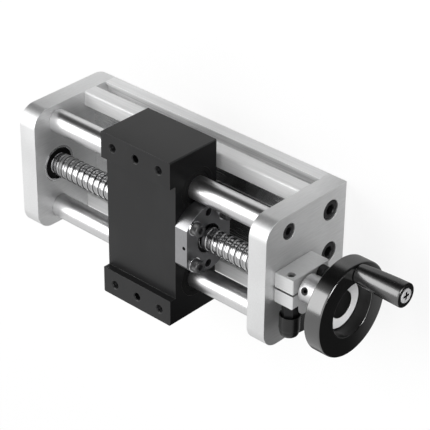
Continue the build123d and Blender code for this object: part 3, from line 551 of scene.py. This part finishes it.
def break_seam(mesh, place, width):
    """Cuts back the edges of a mesh that lie in the plane across the screw at this place."""
    work = bmesh.new()
    work.from_mesh(mesh)
    edges = [edge for edge in work.edges if all(abs(vert.co.x - place) < 1e-6 for vert in edge.verts)]
    bmesh.ops.bevel(work, geom=edges, offset=width, segments=1, affect="EDGES", profile=0.5)
    work.to_mesh(mesh)
    work.free()


def paint(piece, material, chosen):
    """Gives the material to the faces that chosen picks from their centres and normals, which it takes
    as three rows, one for each axis."""
    mesh = piece.data
    centres, normals = np.zeros(len(mesh.polygons) * 3), np.zeros(len(mesh.polygons) * 3)
    mesh.polygons.foreach_get("center", centres)
    mesh.polygons.foreach_get("normal", normals)
    painted = chosen(centres.reshape(-1, 3).T, normals.reshape(-1, 3).T)
    slots = np.zeros(len(mesh.polygons), np.int32)
    mesh.polygons.foreach_get("material_index", slots)
    mesh.materials.append(material)
    slots[painted] = len(mesh.materials) - 1
    mesh.polygons.foreach_set("material_index", slots)
    return piece


def within(values, low, high):
    """Which values lie between two others."""
    return (values > low) & (values < high)


def near_line(at, radius, y=0.0, z=AXIS_HEIGHT):
    """Which points lie within this radius of a line along the screw's direction."""
    return np.hypot(at[1] - y, at[2] - z) < radius


def new_mesh(name, shape):
    """A mesh of a shape's points and faces, with its seams and poles closed."""
    points, faces = shape
    mesh = bpy.data.meshes.new(name)
    mesh.from_pydata(points.tolist(), [], faces.tolist())
    merge(mesh, flatten=False)
    return mesh


def new_object(name, data):
    """An object in the scene that shows this mesh, lamp or camera."""
    holder = bpy.data.objects.new(name, data)
    bpy.context.scene.collection.objects.link(holder)
    return holder


def show(name, mesh, body, material, replaced, edge=None, edge_width=0.0):
    """Puts a mesh in the scene as a finished piece that rides on a body and stands for CAD nodes."""
    mesh.materials.clear()
    mesh.materials.append(material)
    mesh.shade_smooth()
    mesh.set_sharp_from_angle(angle=SHARP_LIMIT)
    piece = new_object(name, mesh)
    if edge:
        mesh.materials.append(edge)
        bevel = piece.modifiers.new("Broken edges", "BEVEL")
        bevel.width = edge_width
        bevel.segments = 2
        bevel.limit_method = "ANGLE"
        bevel.angle_limit = BEVEL_LIMIT
        bevel.harden_normals = True
        bevel.material = 1
    even = piece.modifiers.new("Even faces", "WEIGHTED_NORMAL")
    even.keep_sharp = True
    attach(piece, body)
    if replaced:
        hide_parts(*replaced)
    return piece


def add_surface(name, shape, body, slot, material, *replaced):
    """A new piece from points and faces."""
    return show(name, new_mesh(name, shape), body, material, replaced)


def add_dressed(name, node, body, material, edge_width, edge=None, seam=None):
    """A copy of a CAD node's own solid with its edges broken, which show the material edge. Seam is the
    place and width of a groove where it meets its neighbour."""
    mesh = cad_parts[node].data.copy()
    mesh.name = name
    merge(mesh, flatten=True)
    if seam:
        break_seam(mesh, *seam)
    return show(name, mesh, body, material, (node,), edge or material, edge_width)


class StagePiece:
    """What the operators that add pieces share."""

    bl_options = {"REGISTER", "UNDO"}

    @property
    def sizes(self):
        return bpy.context.scene.stage_sizes

    @property
    def colours(self):
        return bpy.context.scene.stage_colours

    def black_oxide(self):
        """Black oxide, as on every cap screw of the frame."""
        return black_finish("screw_oxide", self.colours.oxide, (0.28, 0.5), 900.0, metal=0.55)

    def ground_steel(self):
        """Ground bearing steel, with the lines of grinding round it."""
        return metal_finish("bearing_ground", self.colours.bearing, (0.18, 0.28), 1600.0,
                            drawn=(1, 0.1, 0.1), depth=0.006 * MM)

    def matt_rubber(self):
        """Matt rubber, as on every seal."""
        return black_finish("seal_matt", self.colours.rubber, (0.55, 0.75), 1400.0,
                            depth=0.04 * MM, level=0.08)

    def bright_plate(self):
        """Bright plating of the small screws and washers."""
        return metal_finish("bright_plated", self.colours.bright, (0.12, 0.2), 1200.0)

    def execute(self, context):
        """Adds the pieces, and fails if one of them has no faces."""
        for piece in self.build():
            if not piece.data.polygons:
                raise RuntimeError(piece.name + " has no faces")
        return {"FINISHED"}


class AddPlates(StagePiece, bpy.types.Operator):
    """Add the two end plates, in satin anodised aluminium with broken edges."""

    bl_idname = "linear_stage.plates"
    bl_label = "End plates"

    def build(self):
        colour = self.colours.plate
        satin = metal_finish("plate_satin", colour, (0.5, 0.58), 2200.0, drawn=(1, 1, 0.05), metal=0.97,
                             streaks=(0.9, 1.07))
        bright = metal_finish("plate_edge", colour, (0.45, 0.53), 1500.0, metal=0.8)
        width = self.sizes.plate_edge
        for side in ("left", "right"):
            node = side + "_end_plate"
            yield add_dressed(side + "_plate", node, "base", satin, width, bright)


class AddProfile(StagePiece, bpy.types.Operator):
    """Add the extruded base, with the die lines of extrusion along it."""

    bl_idname = "linear_stage.profile"
    bl_label = "Extruded base"

    def build(self):
        colour = self.colours.profile
        drawn = (0.015, 1, 1)
        satin = metal_finish("profile_drawn", colour, (0.34, 0.42), 1500.0, drawn=drawn, cloud=12.0,
                             depth=0.1 * MM, metal=0.4, relief=0.5, scratch=3000.0,
                             streaks=(0.88, 1.07))
        width = 0.5 * self.sizes.plate_edge
        base = add_dressed("extruded_base", "base_profile", "base", satin, width)
        dark = metal_finish("channel_drawn", colour, (0.22, 0.3), 1500.0, drawn=drawn, cloud=12.0,
                            depth=0.12 * MM, relief=0.6)
        paint(base, dark, self.channel_floor)
        # Painted light: the slots' inner faces are 1.1 times the profile's colour, lighter against the
        # shade in them.
        pale = metal_finish("slot_matt", colour, (0.36, 0.44), 900.0, drawn=drawn, cloud=12.0, lift=1.1,
                            metal=0.2, streaks=(0.55, 1.25))
        paint(base, pale, self.side_slots)
        # Painted light: the upper faces of the walls are 1.16 times the profile's colour, a lit copy of
        # its finish.
        top = metal_finish("wall_top_matt", colour, (0.42, 0.52), 1500.0, drawn=drawn, lift=1.16,
                           metal=0.15, streaks=(0.88, 1.07))
        yield paint(base, top, self.wall_tops)

    @staticmethod
    def wall_tops(at, facing):
        """The upper faces of the two walls and their rounded corners, which get a painted-light copy of
        the finish.
        """
        return (at[2] > 27.4 * MM) & (facing[2] > 0.3)

    @staticmethod
    def channel_floor(at, facing):
        """The floor of the channel between the two walls."""
        inside = within(at[2], 18 * MM, 21 * MM) & (abs(at[1]) < 33.7 * MM)
        return inside & (abs(facing[0]) < EDGE_ON)

    @staticmethod
    def side_slots(at, facing):
        """The inner faces of the slots in both sides, which get painted light."""
        inside = (abs(at[2] - 13.9 * MM) < 6.6 * MM) & within(abs(at[1]), 36.9 * MM, 44.9 * MM)
        return inside & (abs(facing[0]) < EDGE_ON)


class AddRods(StagePiece, bpy.types.Operator):
    """Add the two ground guide rods, with chamfered ends."""

    bl_idname = "linear_stage.rods"
    bl_label = "Guide rods"

    def build(self):
        steel = metal_finish("rod_polished", self.colours.rod, (0.29, 0.34), 1800.0,
                             drawn=(1, 0.05, 0.05), depth=0.004 * MM)
        outline = [(-97, 3.05), (-97, 7.5), (-96.5, 8), (96.5, 8), (97, 7.5), (97, 3.05)]
        for name, y in (("front", -ROD_Y), ("back", ROD_Y)):
            shape = turned(outline, 0.1 * MM, (0, y, AXIS_HEIGHT), columns=96, closed=True)
            yield add_surface(name + "_rod", shape, "base", "rod_steel", steel, "guide_rod_" + name)


class AddPlateScrews(StagePiece, bpy.types.Operator):
    """Add the cap screws in the counterbores of both plates."""

    bl_idname = "linear_stage.plate_screws"
    bl_label = "Plate screws"

    def build(self):
        rod_seat, base_seat = 101.5 * MM, 99.5 * MM
        base_places = (-30.5 * MM, 0.0, 30.5 * MM)
        groups = (
            ("rod_screw_heads", "rod_screws", 6.0, rod_seat, (-ROD_Y, ROD_Y), AXIS_HEIGHT),
            ("base_screw_heads", "base_screws", 8.0, base_seat, base_places, 14.5 * MM),
        )
        for name, node, size, seat, places, height in groups:
            seats = [((side * seat, y, height), (side, 0, 0)) for side in (-1, 1) for y in places]
            shape = cap_screws(size, seats, self.sizes)
            yield add_surface(name, shape, "base", "black_oxide", self.black_oxide(), node)


class AddBearings(StagePiece, bpy.types.Operator):
    """Add the rings and seals of the two bearings."""

    bl_idname = "linear_stage.bearings"
    bl_label = "Bearings"

    def build(self):
        steel, rubber = self.ground_steel(), self.matt_rubber()
        for name, side in (("left", -1), ("right", 1)):
            start, end = sorted((side * 94.0, side * 102.0))
            outer = tube(start, end, 13.0, 11.3, 0.5 * MM)
            inner = tube(start, end, 7.35, 5.0, 0.4 * MM)
            middles = (side * 94.7, side * 101.3)
            seals = joined(self.seal(middle - 0.4, middle + 0.4) for middle in middles)
            group = name + "_bearing_"
            yield add_surface(group + "cup", outer, "base", "bearing_steel", steel, group + "outer_ring")
            yield add_surface(group + "cone", inner, "screw", "bearing_steel", steel, group + "inner_ring")
            yield add_surface(group + "shields", seals, "base", "seal_rubber", rubber, group + "seals")

    @staticmethod
    def seal(low, high):
        """A seal between two distances, dished on both faces."""
        outline = [(low, 7.45), (low + 0.25, 8.4), (low + 0.25, 10.2), (low, 10.8), (low, 11.3)]
        outline += [(high, 11.3), (high, 10.8), (high - 0.25, 10.2), (high - 0.25, 8.4), (high, 7.45)]
        return turned(outline, 0.15 * MM, closed=True)


class AddClampBlock(StagePiece, bpy.types.Operator):
    """Add the split clamp block and its two cap screws."""

    bl_idname = "linear_stage.clamp_block"
    bl_label = "Clamp block"

    def build(self):
        colour = self.colours.plate
        satin = metal_finish("block_satin", colour, (0.34, 0.42), 1500.0, drawn=(0.1, 1, 1), metal=0.8,
                             lift=1.05)
        width = 0.5 * self.sizes.small_edge
        block = add_dressed("split_block", "clamp_block", "base", satin, width,
                            seam=(PLATE_FACE, 0.8 * MM))
        matt = metal_finish("block_face", colour, (0.5, 0.58), 1500.0, metal=0.3, lift=1.05)
        paint(block, matt, lambda at, facing: facing[0] > SQUARE_ON)
        oxide = self.black_oxide()
        # Painted shade: the slit's two aluminium walls take the black oxide, so the slit reads as a dark
        # gap.
        yield paint(block, oxide, self.shaded_slit_walls)
        screw_y, screw_height = BLOCK_SCREWS
        seats = [((BLOCK_FACE, y, screw_height), ALONG_X) for y in (-screw_y, screw_y)]
        shape = cap_screws(5.0, seats, self.sizes)
        yield add_surface("block_screw_heads", shape, "base", "black_oxide", oxide, "clamp_block_screws")

    @staticmethod
    def shaded_slit_walls(at, facing):
        """The two walls of the slit down the middle, painted black as shade."""
        return (abs(at[1]) < 1 * MM) & (abs(facing[1]) > SQUARE_ON)


class AddCarriage(StagePiece, bpy.types.Operator):
    """Add the black carriage, with threads in the corner holes of its lips."""

    bl_idname = "linear_stage.carriage"
    bl_label = "Carriage"

    def build(self):
        colour = self.colours.carriage
        black = black_finish("carriage_anodised", colour, (0.32, 0.42), 1300.0, level=0.36)
        # Painted highlight: the broken edges are 2.5 times the carriage's colour, as light lines along
        # them.
        edge_highlight = black_finish("carriage_edge", colour, (0.25, 0.35), 1300.0, lift=2.5)
        width = self.sizes.small_edge
        body = add_dressed("carriage_body", "carriage_block", "carriage", black, width,
                           edge_highlight)
        # Painted shade: the end faces and the rod bores are 0.6 times the carriage's colour and reflect
        # less.
        ends = black_finish("carriage_ends", colour, (0.32, 0.42), 1300.0, lift=0.6, level=0.06)
        yield paint(body, ends, self.shaded_ends_and_bores)
        along, across, height = LIP_HOLES
        mouths = [(CARRIAGE_X + x, y, height) for x in (-along, along) for y in (-across, across)]
        pitch = self.sizes.bolt_pitch
        root, height, length = 2.49 * MM, 0.32 * MM, 12 * MM
        shape = joined(hole_thread(mouth, root, height, length, pitch) for mouth in mouths)
        # Painted light: the threads are 4 times the carriage's colour, to show light inside the holes.
        lit_threads = black_finish("tapped_anodised", colour, (0.3, 0.4), 900.0, metal=0.5, lift=4.0)
        yield add_surface("lip_threads", shape, "carriage", "black_anodised", lit_threads)

    @staticmethod
    def shaded_ends_and_bores(at, facing):
        """The two end faces and the bores round the rods, which get painted shade."""
        reach = 15.2 * MM
        return (abs(facing[0]) > SQUARE_ON) | near_line(at, reach, -ROD_Y) | near_line(at, reach, ROD_Y)


class AddBushings(StagePiece, bpy.types.Operator):
    """Add the four linear bushings and their end seals."""

    bl_idname = "linear_stage.bushings"
    bl_label = "Bushings"

    def build(self):
        steel, rubber = self.ground_steel(), self.matt_rubber()
        seals = []
        for rod, y in (("front", -ROD_Y), ("back", ROD_Y)):
            centre = (0, y, AXIS_HEIGHT)
            for side, low, high in (("left", -26.0, 2.0), ("right", 3.0, 31.0)):
                shape = tube(low, high, 14.0, 8.05, 0.5 * MM, centre)
                name = "bushing_" + rod + "_" + side
                yield add_surface(name + "_shell", shape, "carriage", "bearing_steel", steel, name)
            seals += [self.seal(-27.45, -26.0, centre), self.seal(32.45, 31.0, centre)]
        seals = joined(seals)
        yield add_surface("bushing_end_seals", seals, "carriage", "seal_rubber", rubber, "bushing_seals")

    @staticmethod
    def seal(face, inner, centre):
        """A seal from its face to the end of its bushing, sunk round the rod and raised at its lip."""
        sunk = face + (inner - face) * 0.4
        outline = [(inner, 8.1), (inner, 14.0), (face, 14.0), (face, 11.2), (sunk, 10.4), (sunk, 8.6)]
        outline += [(face, 8.1)]
        return turned(outline[::-1] if face < 0 else outline, 0.15 * MM, centre, closed=True)


class AddNut(StagePiece, bpy.types.Operator):
    """Add the flanged ball nut with its wipers, cap screws and washers."""

    bl_idname = "linear_stage.nut"
    bl_label = "Ball nut"

    def build(self):
        colours = self.colours
        steel = metal_finish("nut_ground", colours.nut, (0.32, 0.4), 1400.0, drawn=(1, 0.2, 0.2),
                             depth=0.006 * MM)
        # Painted highlight: the nut's broken edges are a little lighter, 1.05 times its colour.
        bright = metal_finish("nut_edge", colours.nut, (0.28, 0.34), 1400.0, lift=1.05)
        width = self.sizes.small_edge
        nut = add_dressed("flanged_nut", "ball_nut", "carriage", steel, width, bright)
        # Painted shade: both end faces of the nut are half its colour.
        front = metal_finish("nut_front", colours.nut, (0.4, 0.48), 1400.0, lift=0.5)
        yield paint(nut, front, lambda at, facing: abs(facing[0]) > SQUARE_ON)
        wipers = joined(tube(start, start + 3, 10.0, 8.15, 0.4 * MM) for start in (38.9, 1.1))
        rubber = self.matt_rubber()
        yield add_surface("nut_wiper_rings", wipers, "carriage", "seal_rubber", rubber, "nut_wipers")
        offset = NUT_SCREW_CIRCLE * math.sqrt(0.5)
        places = [(y, AXIS_HEIGHT + z) for y in (-offset, offset) for z in (-offset, offset)]
        dark = black_finish("cap_plain", colours.cap_steel, (0.25, 0.35), 1100.0, level=0.7)
        seats = [((NUT_FACE + 1 * MM, y, z), ALONG_X) for y, z in places]
        shape = cap_screws(5.0, seats, self.sizes)
        yield add_surface("nut_screw_heads", shape, "carriage", "cap_steel", dark, "nut_screws")
        washers = joined(tube(42.5, 43.5, 5.0, 2.75, 0.15 * MM, (0, y, z), 48) for y, z in places)
        plated = self.bright_plate()
        yield add_surface("nut_plain_washers", washers, "carriage", "bright_steel", plated, "nut_washers")


class AddScrew(StagePiece, bpy.types.Operator):
    """Add the ball screw: its helical groove, shoulders, journals and long shaft."""

    bl_idname = "linear_stage.screw"
    bl_label = "Ball screw"

    def build(self):
        ground = thread_finish("thread_ground", self.colours.thread, self.sizes)
        half_length, radius, end_radius = 93.5 * MM, 8 * MM, 6.8 * MM
        thread = screw_thread(half_length, radius, end_radius, self.sizes)
        left = [(-102.5, 0), (-102.5, 5), (-94, 5), (-94, 6.8), (-93.5, 6.8)]
        right = [(93.5, 6.8), (94, 6.8), (94, 5), (102.5, 5), (102.5, 4), (149.55, 4), (149.55, 0)]
        shape = joined([thread] + [turned(end, 0.12 * MM) for end in (left, right)])
        yield add_surface("threaded_screw", shape, "screw", "screw_steel", ground, "ball_screw")


class AddSleeve(StagePiece, bpy.types.Operator):
    """Add the bright hub sleeve and its set screw."""

    bl_idname = "linear_stage.sleeve"
    bl_label = "Hub sleeve"

    def build(self):
        satin = metal_finish("bright_turned", self.colours.bright, (0.38, 0.46), 2200.0,
                             drawn=(1, 0.06, 0.06), depth=0.01 * MM, lift=0.74)
        yield add_dressed("bright_sleeve", "hub_sleeve", "screw", satin, 0.25 * MM)
        outward = (0, math.cos(SET_SCREW_TURN), math.sin(SET_SCREW_TURN))
        profile = [
            (4.7, 0), (4.7, 2.0), (5.1, 2.45), (8.5, 2.45), (8.7, 2.25), (8.7, 1.5),
            (8.6, 1.25, hexagon), (6.7, 1.25, hexagon), (6.7, 0.5), (6.2, 0),
        ]
        shape = formed(profile, (SET_SCREW_X, 0, AXIS_HEIGHT), outward, columns=48)
        oxide = self.black_oxide()
        yield add_surface("sleeve_grub_screw", shape, "screw", "black_oxide", oxide, "sleeve_set_screw")


class AddWheel(StagePiece, bpy.types.Operator):
    """Add the handwheel, its bright hub ring and its cap."""

    bl_idname = "linear_stage.wheel"
    bl_label = "Handwheel"

    def build(self):
        colours = self.colours
        black = turned_black_finish("wheel_turned", colours.wheel, (0.14, 0.2), (0, AXIS_HEIGHT),
                                    0.5 * MM)
        outline = [(143.2, 9.52), (143.2, 12), (147.2, 12), (147.2, 31.3), (158.8, 31.3), (158.8, 18.2)]
        outline += [(149.6, 16.7), (149.6, 9.52)]
        reach = np.array([0.2, 0.5, 0.8, 0.7, 1.3, 0.5, 0.7, 0.2]) * MM
        shape = turned(outline, reach, columns=144, closed=True, steps=7)
        wheel = add_surface("wheel_body", shape, "screw", "wheel_black", black, "handwheel")
        dull = black_finish("dish_black", colours.wheel, (0.35, 0.47), 900.0, level=0.6)
        yield paint(wheel, dull, lambda at, facing: (at[0] > 149 * MM) & near_line(at, 18.1 * MM))
        frosted = metal_finish("bright_frosted", colours.bright, (0.5, 0.6), 1200.0, metal=0.0,
                               lift=1.12)
        shape = tube(149.6, 150.6, 15.8, 9.2, 0.3 * MM, columns=120)
        yield add_surface("wheel_hub_ring", shape, "screw", "bright_steel", frosted, "hub_ring")
        matt = black_finish("cap_black", colours.wheel, (0.3, 0.42), 900.0)
        outline = [(149.6, 0), (149.6, 9), (150.7, 9), (151.0, 8.2), (150.8, 6.4), (150.8, 0)]
        shape = turned(outline, 0.4 * MM, columns=96)
        yield add_surface("wheel_hub_cap", shape, "screw", "wheel_black", matt, "hub_cap")


class AddHandle(StagePiece, bpy.types.Operator):
    """Add the revolving grip and the cross recessed axle that it turns on."""

    bl_idname = "linear_stage.handle"
    bl_label = "Handle"

    def build(self):
        colours = self.colours
        y, z = HANDLE_PLACE
        centre = (0, y, z)
        gloss = turned_black_finish("grip_gloss", colours.wheel, (0.24, 0.32), (y, z), 0.7 * MM)
        shape = turned(*self.grip_outline(), centre, columns=96, closed=True, steps=6)
        yield add_surface("grip_body", shape, "handle", "wheel_black", gloss, "handle_grip")
        satin = metal_finish("axle_satin", colours.bright, (0.3, 0.4), 1200.0, metal=0.4)
        profile = [
            (150.9, 0), (150.9, 2.45), (158.8, 2.45), (158.8, 3), (190.7, 3), (190.7, 4.7), (193.2, 4.7),
            (193.55, 4.5), (193.68, 4.1), (193.7, 3.0), (193.5, 2.75, cross), (191.6, 1.5, cross),
            (191.4, 0),
        ]
        shape = formed(profile, centre, ALONG_X, columns=96)
        axle = add_surface("grip_axle", shape, "screw", "bright_steel", satin, "handle_axle")
        # Painted shade: the walls of the cross recess in the bright axle take black oxide, so the recess
        # shows dark.
        yield paint(axle, self.black_oxide(), lambda at, facing: within(at[0], 191 * MM, 193.45 * MM)
                    & near_line(at, 3 * MM, y, z))

    @staticmethod
    def grip_outline():
        """The grip's outline and the reach of its corners. Its flank is the quadratic through the radii
        at its foot, a quarter of the way up and at its end."""
        foot, end, length, rows = 159.1, 193.3, 34.2, 16
        curve = np.polyfit([0, 9.0, length], [6.2, 6.9, 7.9], 2)
        along = np.linspace(0, length, rows)
        flank = np.stack([foot + along, np.polyval(curve, along)], axis=-1)
        inside = [(end, 5.05), (190.35, 5.05), (190.35, 3.1), (foot, 3.1)]
        reach = np.array([0.35] + [0.01] * (rows - 2) + [1.9, 0.25, 0.1, 0.1, 0.2]) * MM
        return np.concatenate([flank, inside]), reach


class AddLever(StagePiece, bpy.types.Operator):
    """Add the clamp lever, its hexagonal insert and its tip screw."""

    bl_idname = "linear_stage.lever"
    bl_label = "Clamp lever"

    def build(self):
        coated = black_finish("lever_coating", self.colours.lever, (0.2, 0.32), 700.0,
                              depth=0.06 * MM)
        away = (0, -1, 0)
        outline = [(8, 5.4), (2.5, 5.4), (2.5, 6.1), (0, 6.1), (0, 6.7), (9.7, 6.7), (10.2, 6.45)]
        outline += [(12.2, 6.4), (15, 5.4), (15, 2.6), (8, 2.6)]
        reach = np.array([0.1, 0.2, 0.3, 0.2, 0.3, 0.2, 0.2, 1.2, 1.4, 0.2, 0.1]) * MM
        top = (LEVER_X, LEVER_HUB_TOP, LEVER_HEIGHT)
        hub = turned(outline, reach, top, closed=True, steps=5, axis=away)
        shape = joined([hub, tapered_arm()])
        yield add_surface("lever_body", shape, "lever", "lever_black", coated, "clamp_lever")
        profile = [
            (-8, 0), (-8, 2.45), (11.3, 2.45), (11.3, 4.4), (11.8, 4.6, hexagon), (26.4, 4.6, hexagon),
            (26.4, 0),
        ]
        shape = formed(profile, (LEVER_X, 0, LEVER_HEIGHT), away, columns=72)
        yield add_surface("lever_stud", shape, "lever", "black_oxide", self.black_oxide(), "lever_insert")
        plated = self.bright_plate()
        yield add_dressed("lever_end_screw", "lever_tip_screw", "lever", plated, 0.25 * MM)


class AddStudio(bpy.types.Operator):
    """Add the floor, lamps, world and camera."""

    bl_idname = "linear_stage.studio"
    bl_label = "Studio"
    bl_options = {"REGISTER", "UNDO"}

    def execute(self, context):
        light = context.scene.stage_light
        add_floor()
        add_world(light)
        add_lamp("overhead_strip", (-0.66, 0.36, 0.92), (0.92, 0.9), light.overhead)
        add_lamp("far_strip", (0.66, 0.38, 0.92), (1.0, 0.9), 0.3 * light.overhead)
        add_lamp("front_fill", (0.9, 0.3, 0.15), (0.2, 0.5), light.fill)
        add_camera()
        return {"FINISHED"}


def add_floor():
    """A pale disc under the stage. Camera rays see it white, with the stage's shadow. Other rays see it
    pale under the stage and in front of it, and elsewhere and past the wheel it is painted dark, a
    painted shade that the metal shows in its reflections. To mirror and glass rays the pale part glows as
    well."""
    shape = rings(np.array([0.0, 0.0]), np.array([4.0, 0.0]), (0, 0, -FLOOR_GAP), UPWARD, 64)
    floor = new_object("floor", new_mesh("floor", shape))
    material, place = begin_finish("floor_pale")
    camera = place.put("ShaderNodeLightPath", output="Is Camera Ray")
    mirror = place.put("ShaderNodeLightPath", output="Is Glossy Ray")
    glass = place.put("ShaderNodeLightPath", output="Is Transmission Ray")
    oval = place.moved((0.025, -0.015, 0), (0.62, 1, 0))
    distance = oval.put("ShaderNodeVectorMath", {"operation": "LENGTH"}, {0: oval}, output="Value")
    x, y = place.parts()[:2]
    # Painted shade: for every ray but the camera's, the floor's colour goes dark away from the stage and
    # past the wheel.
    away = distance.between(0.085, 0.18) * y.between(-0.4, -0.13)
    shade_past_wheel = x.between(0.07, 0.115) * 0.5 + x.between(0.165, 0.2) * 0.5
    floor_shade = away.maths("MAXIMUM", shade_past_wheel) * (1 - camera)
    pale = camera.mix((0.7, 0.7, 0.7, 1), (0.95, 0.95, 0.95, 1))
    matt = place.put("ShaderNodeBsdfDiffuse", None, {"Color": floor_shade.mix(pale, (0.025, 0.025, 0.025, 1))})
    glow = place.put("ShaderNodeEmission", None, {"Color": WHITE, "Strength": 1.0})
    share = camera * 0.8 + (mirror + glass).held() * (1 - floor_shade) * 0.45
    both = place.put("ShaderNodeMixShader", None, {0: share, 1: matt, 2: glow})
    both.put("ShaderNodeOutputMaterial", None, {"Surface": both})
    floor.data.materials.append(material)


def add_world(light):
    """The room: white to the camera. To everything else it is bright overhead and behind the stage, and
    dark behind the camera, which is what polished rods show. The brightness follows how far a direction
    leans towards the bright side, its dot product with that side."""
    world = bpy.data.worlds.new("studio")
    world.use_nodes = True
    world.node_tree.nodes.clear()
    bpy.context.scene.world = world
    place = Wire(world.node_tree).put("ShaderNodeTexCoord", output="Generated")
    bright_side = (-0.2, -0.45, 0.87)
    lean = place.put("ShaderNodeVectorMath", {"operation": "DOT_PRODUCT"}, {0: place, 1: bright_side},
                     output="Value")
    stops = [(0.0, light.wall), (0.5, light.wall), (0.6, 0.4 * light.ceiling), (0.7, light.ceiling)]
    room = place.put("ShaderNodeValToRGB", {"stops": stops}, {"Fac": lean * 0.5 + 0.5})
    seen = place.put("ShaderNodeLightPath", output="Is Camera Ray").mix(room, WHITE)
    sky = place.put("ShaderNodeBackground", None, {"Color": seen, "Strength": 1.0})
    sky.put("ShaderNodeOutputWorld", None, {"Surface": sky})


def add_lamp(name, place, size, power):
    """A soft lamp that faces the stage. Its first size lies across the rods, so that its reflection is a
    broad band along each of them, and its second size as near along them as it can."""
    lamp = bpy.data.lights.new(name, "AREA")
    lamp.shape = "RECTANGLE"
    lamp.size, lamp.size_y = size
    lamp.energy = power
    aim = (0.02, 0, 0.05)
    backward = unit(np.array(place) - aim)
    across = unit(np.cross(backward, ALONG_X))
    turn_holder(new_object(name, lamp), across, np.cross(backward, across), backward, place)


def turn_holder(holder, right, up, backward, place):
    """Puts a lamp or camera in its place, turned to these three directions."""
    turn = [[right[i], up[i], backward[i], place[i]] for i in range(3)]
    holder.matrix_world = Matrix(turn + [[0, 0, 0, 1]])


def add_camera():
    """A long lens that looks down on the carriage from the wheel's end and the back of the stage."""
    camera = bpy.data.cameras.new("camera")
    camera.lens = 152.54
    camera.sensor_width = 36.0
    camera.clip_start = 0.05
    place = (0.6952, 0.61615, 0.7708)
    right = (0.73766883, 0.01054057, -0.67508043)
    up = (-0.36158978, 0.85056232, -0.38183316)
    backward = (0.57017324, 0.52576861, 0.63124468)
    holder = new_object("camera", camera)
    turn_holder(holder, right, up, backward, place)
    bpy.context.scene.camera = holder


PIECES = (
    AddPlates, AddProfile, AddRods, AddPlateScrews, AddBearings, AddClampBlock, AddCarriage, AddBushings,
    AddNut, AddScrew, AddSleeve, AddWheel, AddHandle, AddLever, AddStudio,
)


class StagePanel(bpy.types.Panel):
    """The stage's sizes, colours and pieces."""

    bl_idname = "VIEW3D_PT_linear_stage"
    bl_label = "Linear stage"
    bl_space_type = "VIEW_3D"
    bl_region_type = "UI"
    bl_category = "Linear stage"

    def draw(self, context):
        scene = context.scene
        for group in (scene.stage_sizes, scene.stage_colours, scene.stage_light):
            box = self.layout.box()
            for name in group.__annotations__:
                box.prop(group, name)
        for piece in PIECES:
            self.layout.operator(piece.bl_idname)


GROUPS = (("stage_sizes", StageSizes), ("stage_colours", StageColours), ("stage_light", StageLight))


def register():
    for name, group in GROUPS:
        bpy.utils.register_class(group)
        setattr(bpy.types.Scene, name, bpy.props.PointerProperty(type=group))
    for piece in PIECES + (StagePanel,):
        bpy.utils.register_class(piece)


def unregister():
    for piece in (StagePanel,) + PIECES[::-1]:
        bpy.utils.unregister_class(piece)
    for name, group in GROUPS[::-1]:
        delattr(bpy.types.Scene, name)
        bpy.utils.unregister_class(group)


def main():
    """Adds every piece in order."""
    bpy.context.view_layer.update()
    register()
    for piece in PIECES:
        getattr(bpy.ops.linear_stage, piece.bl_idname.split(".")[1])()
    bpy.context.scene.view_settings.view_transform = "Standard"


if __name__ == "__main__":
    main()
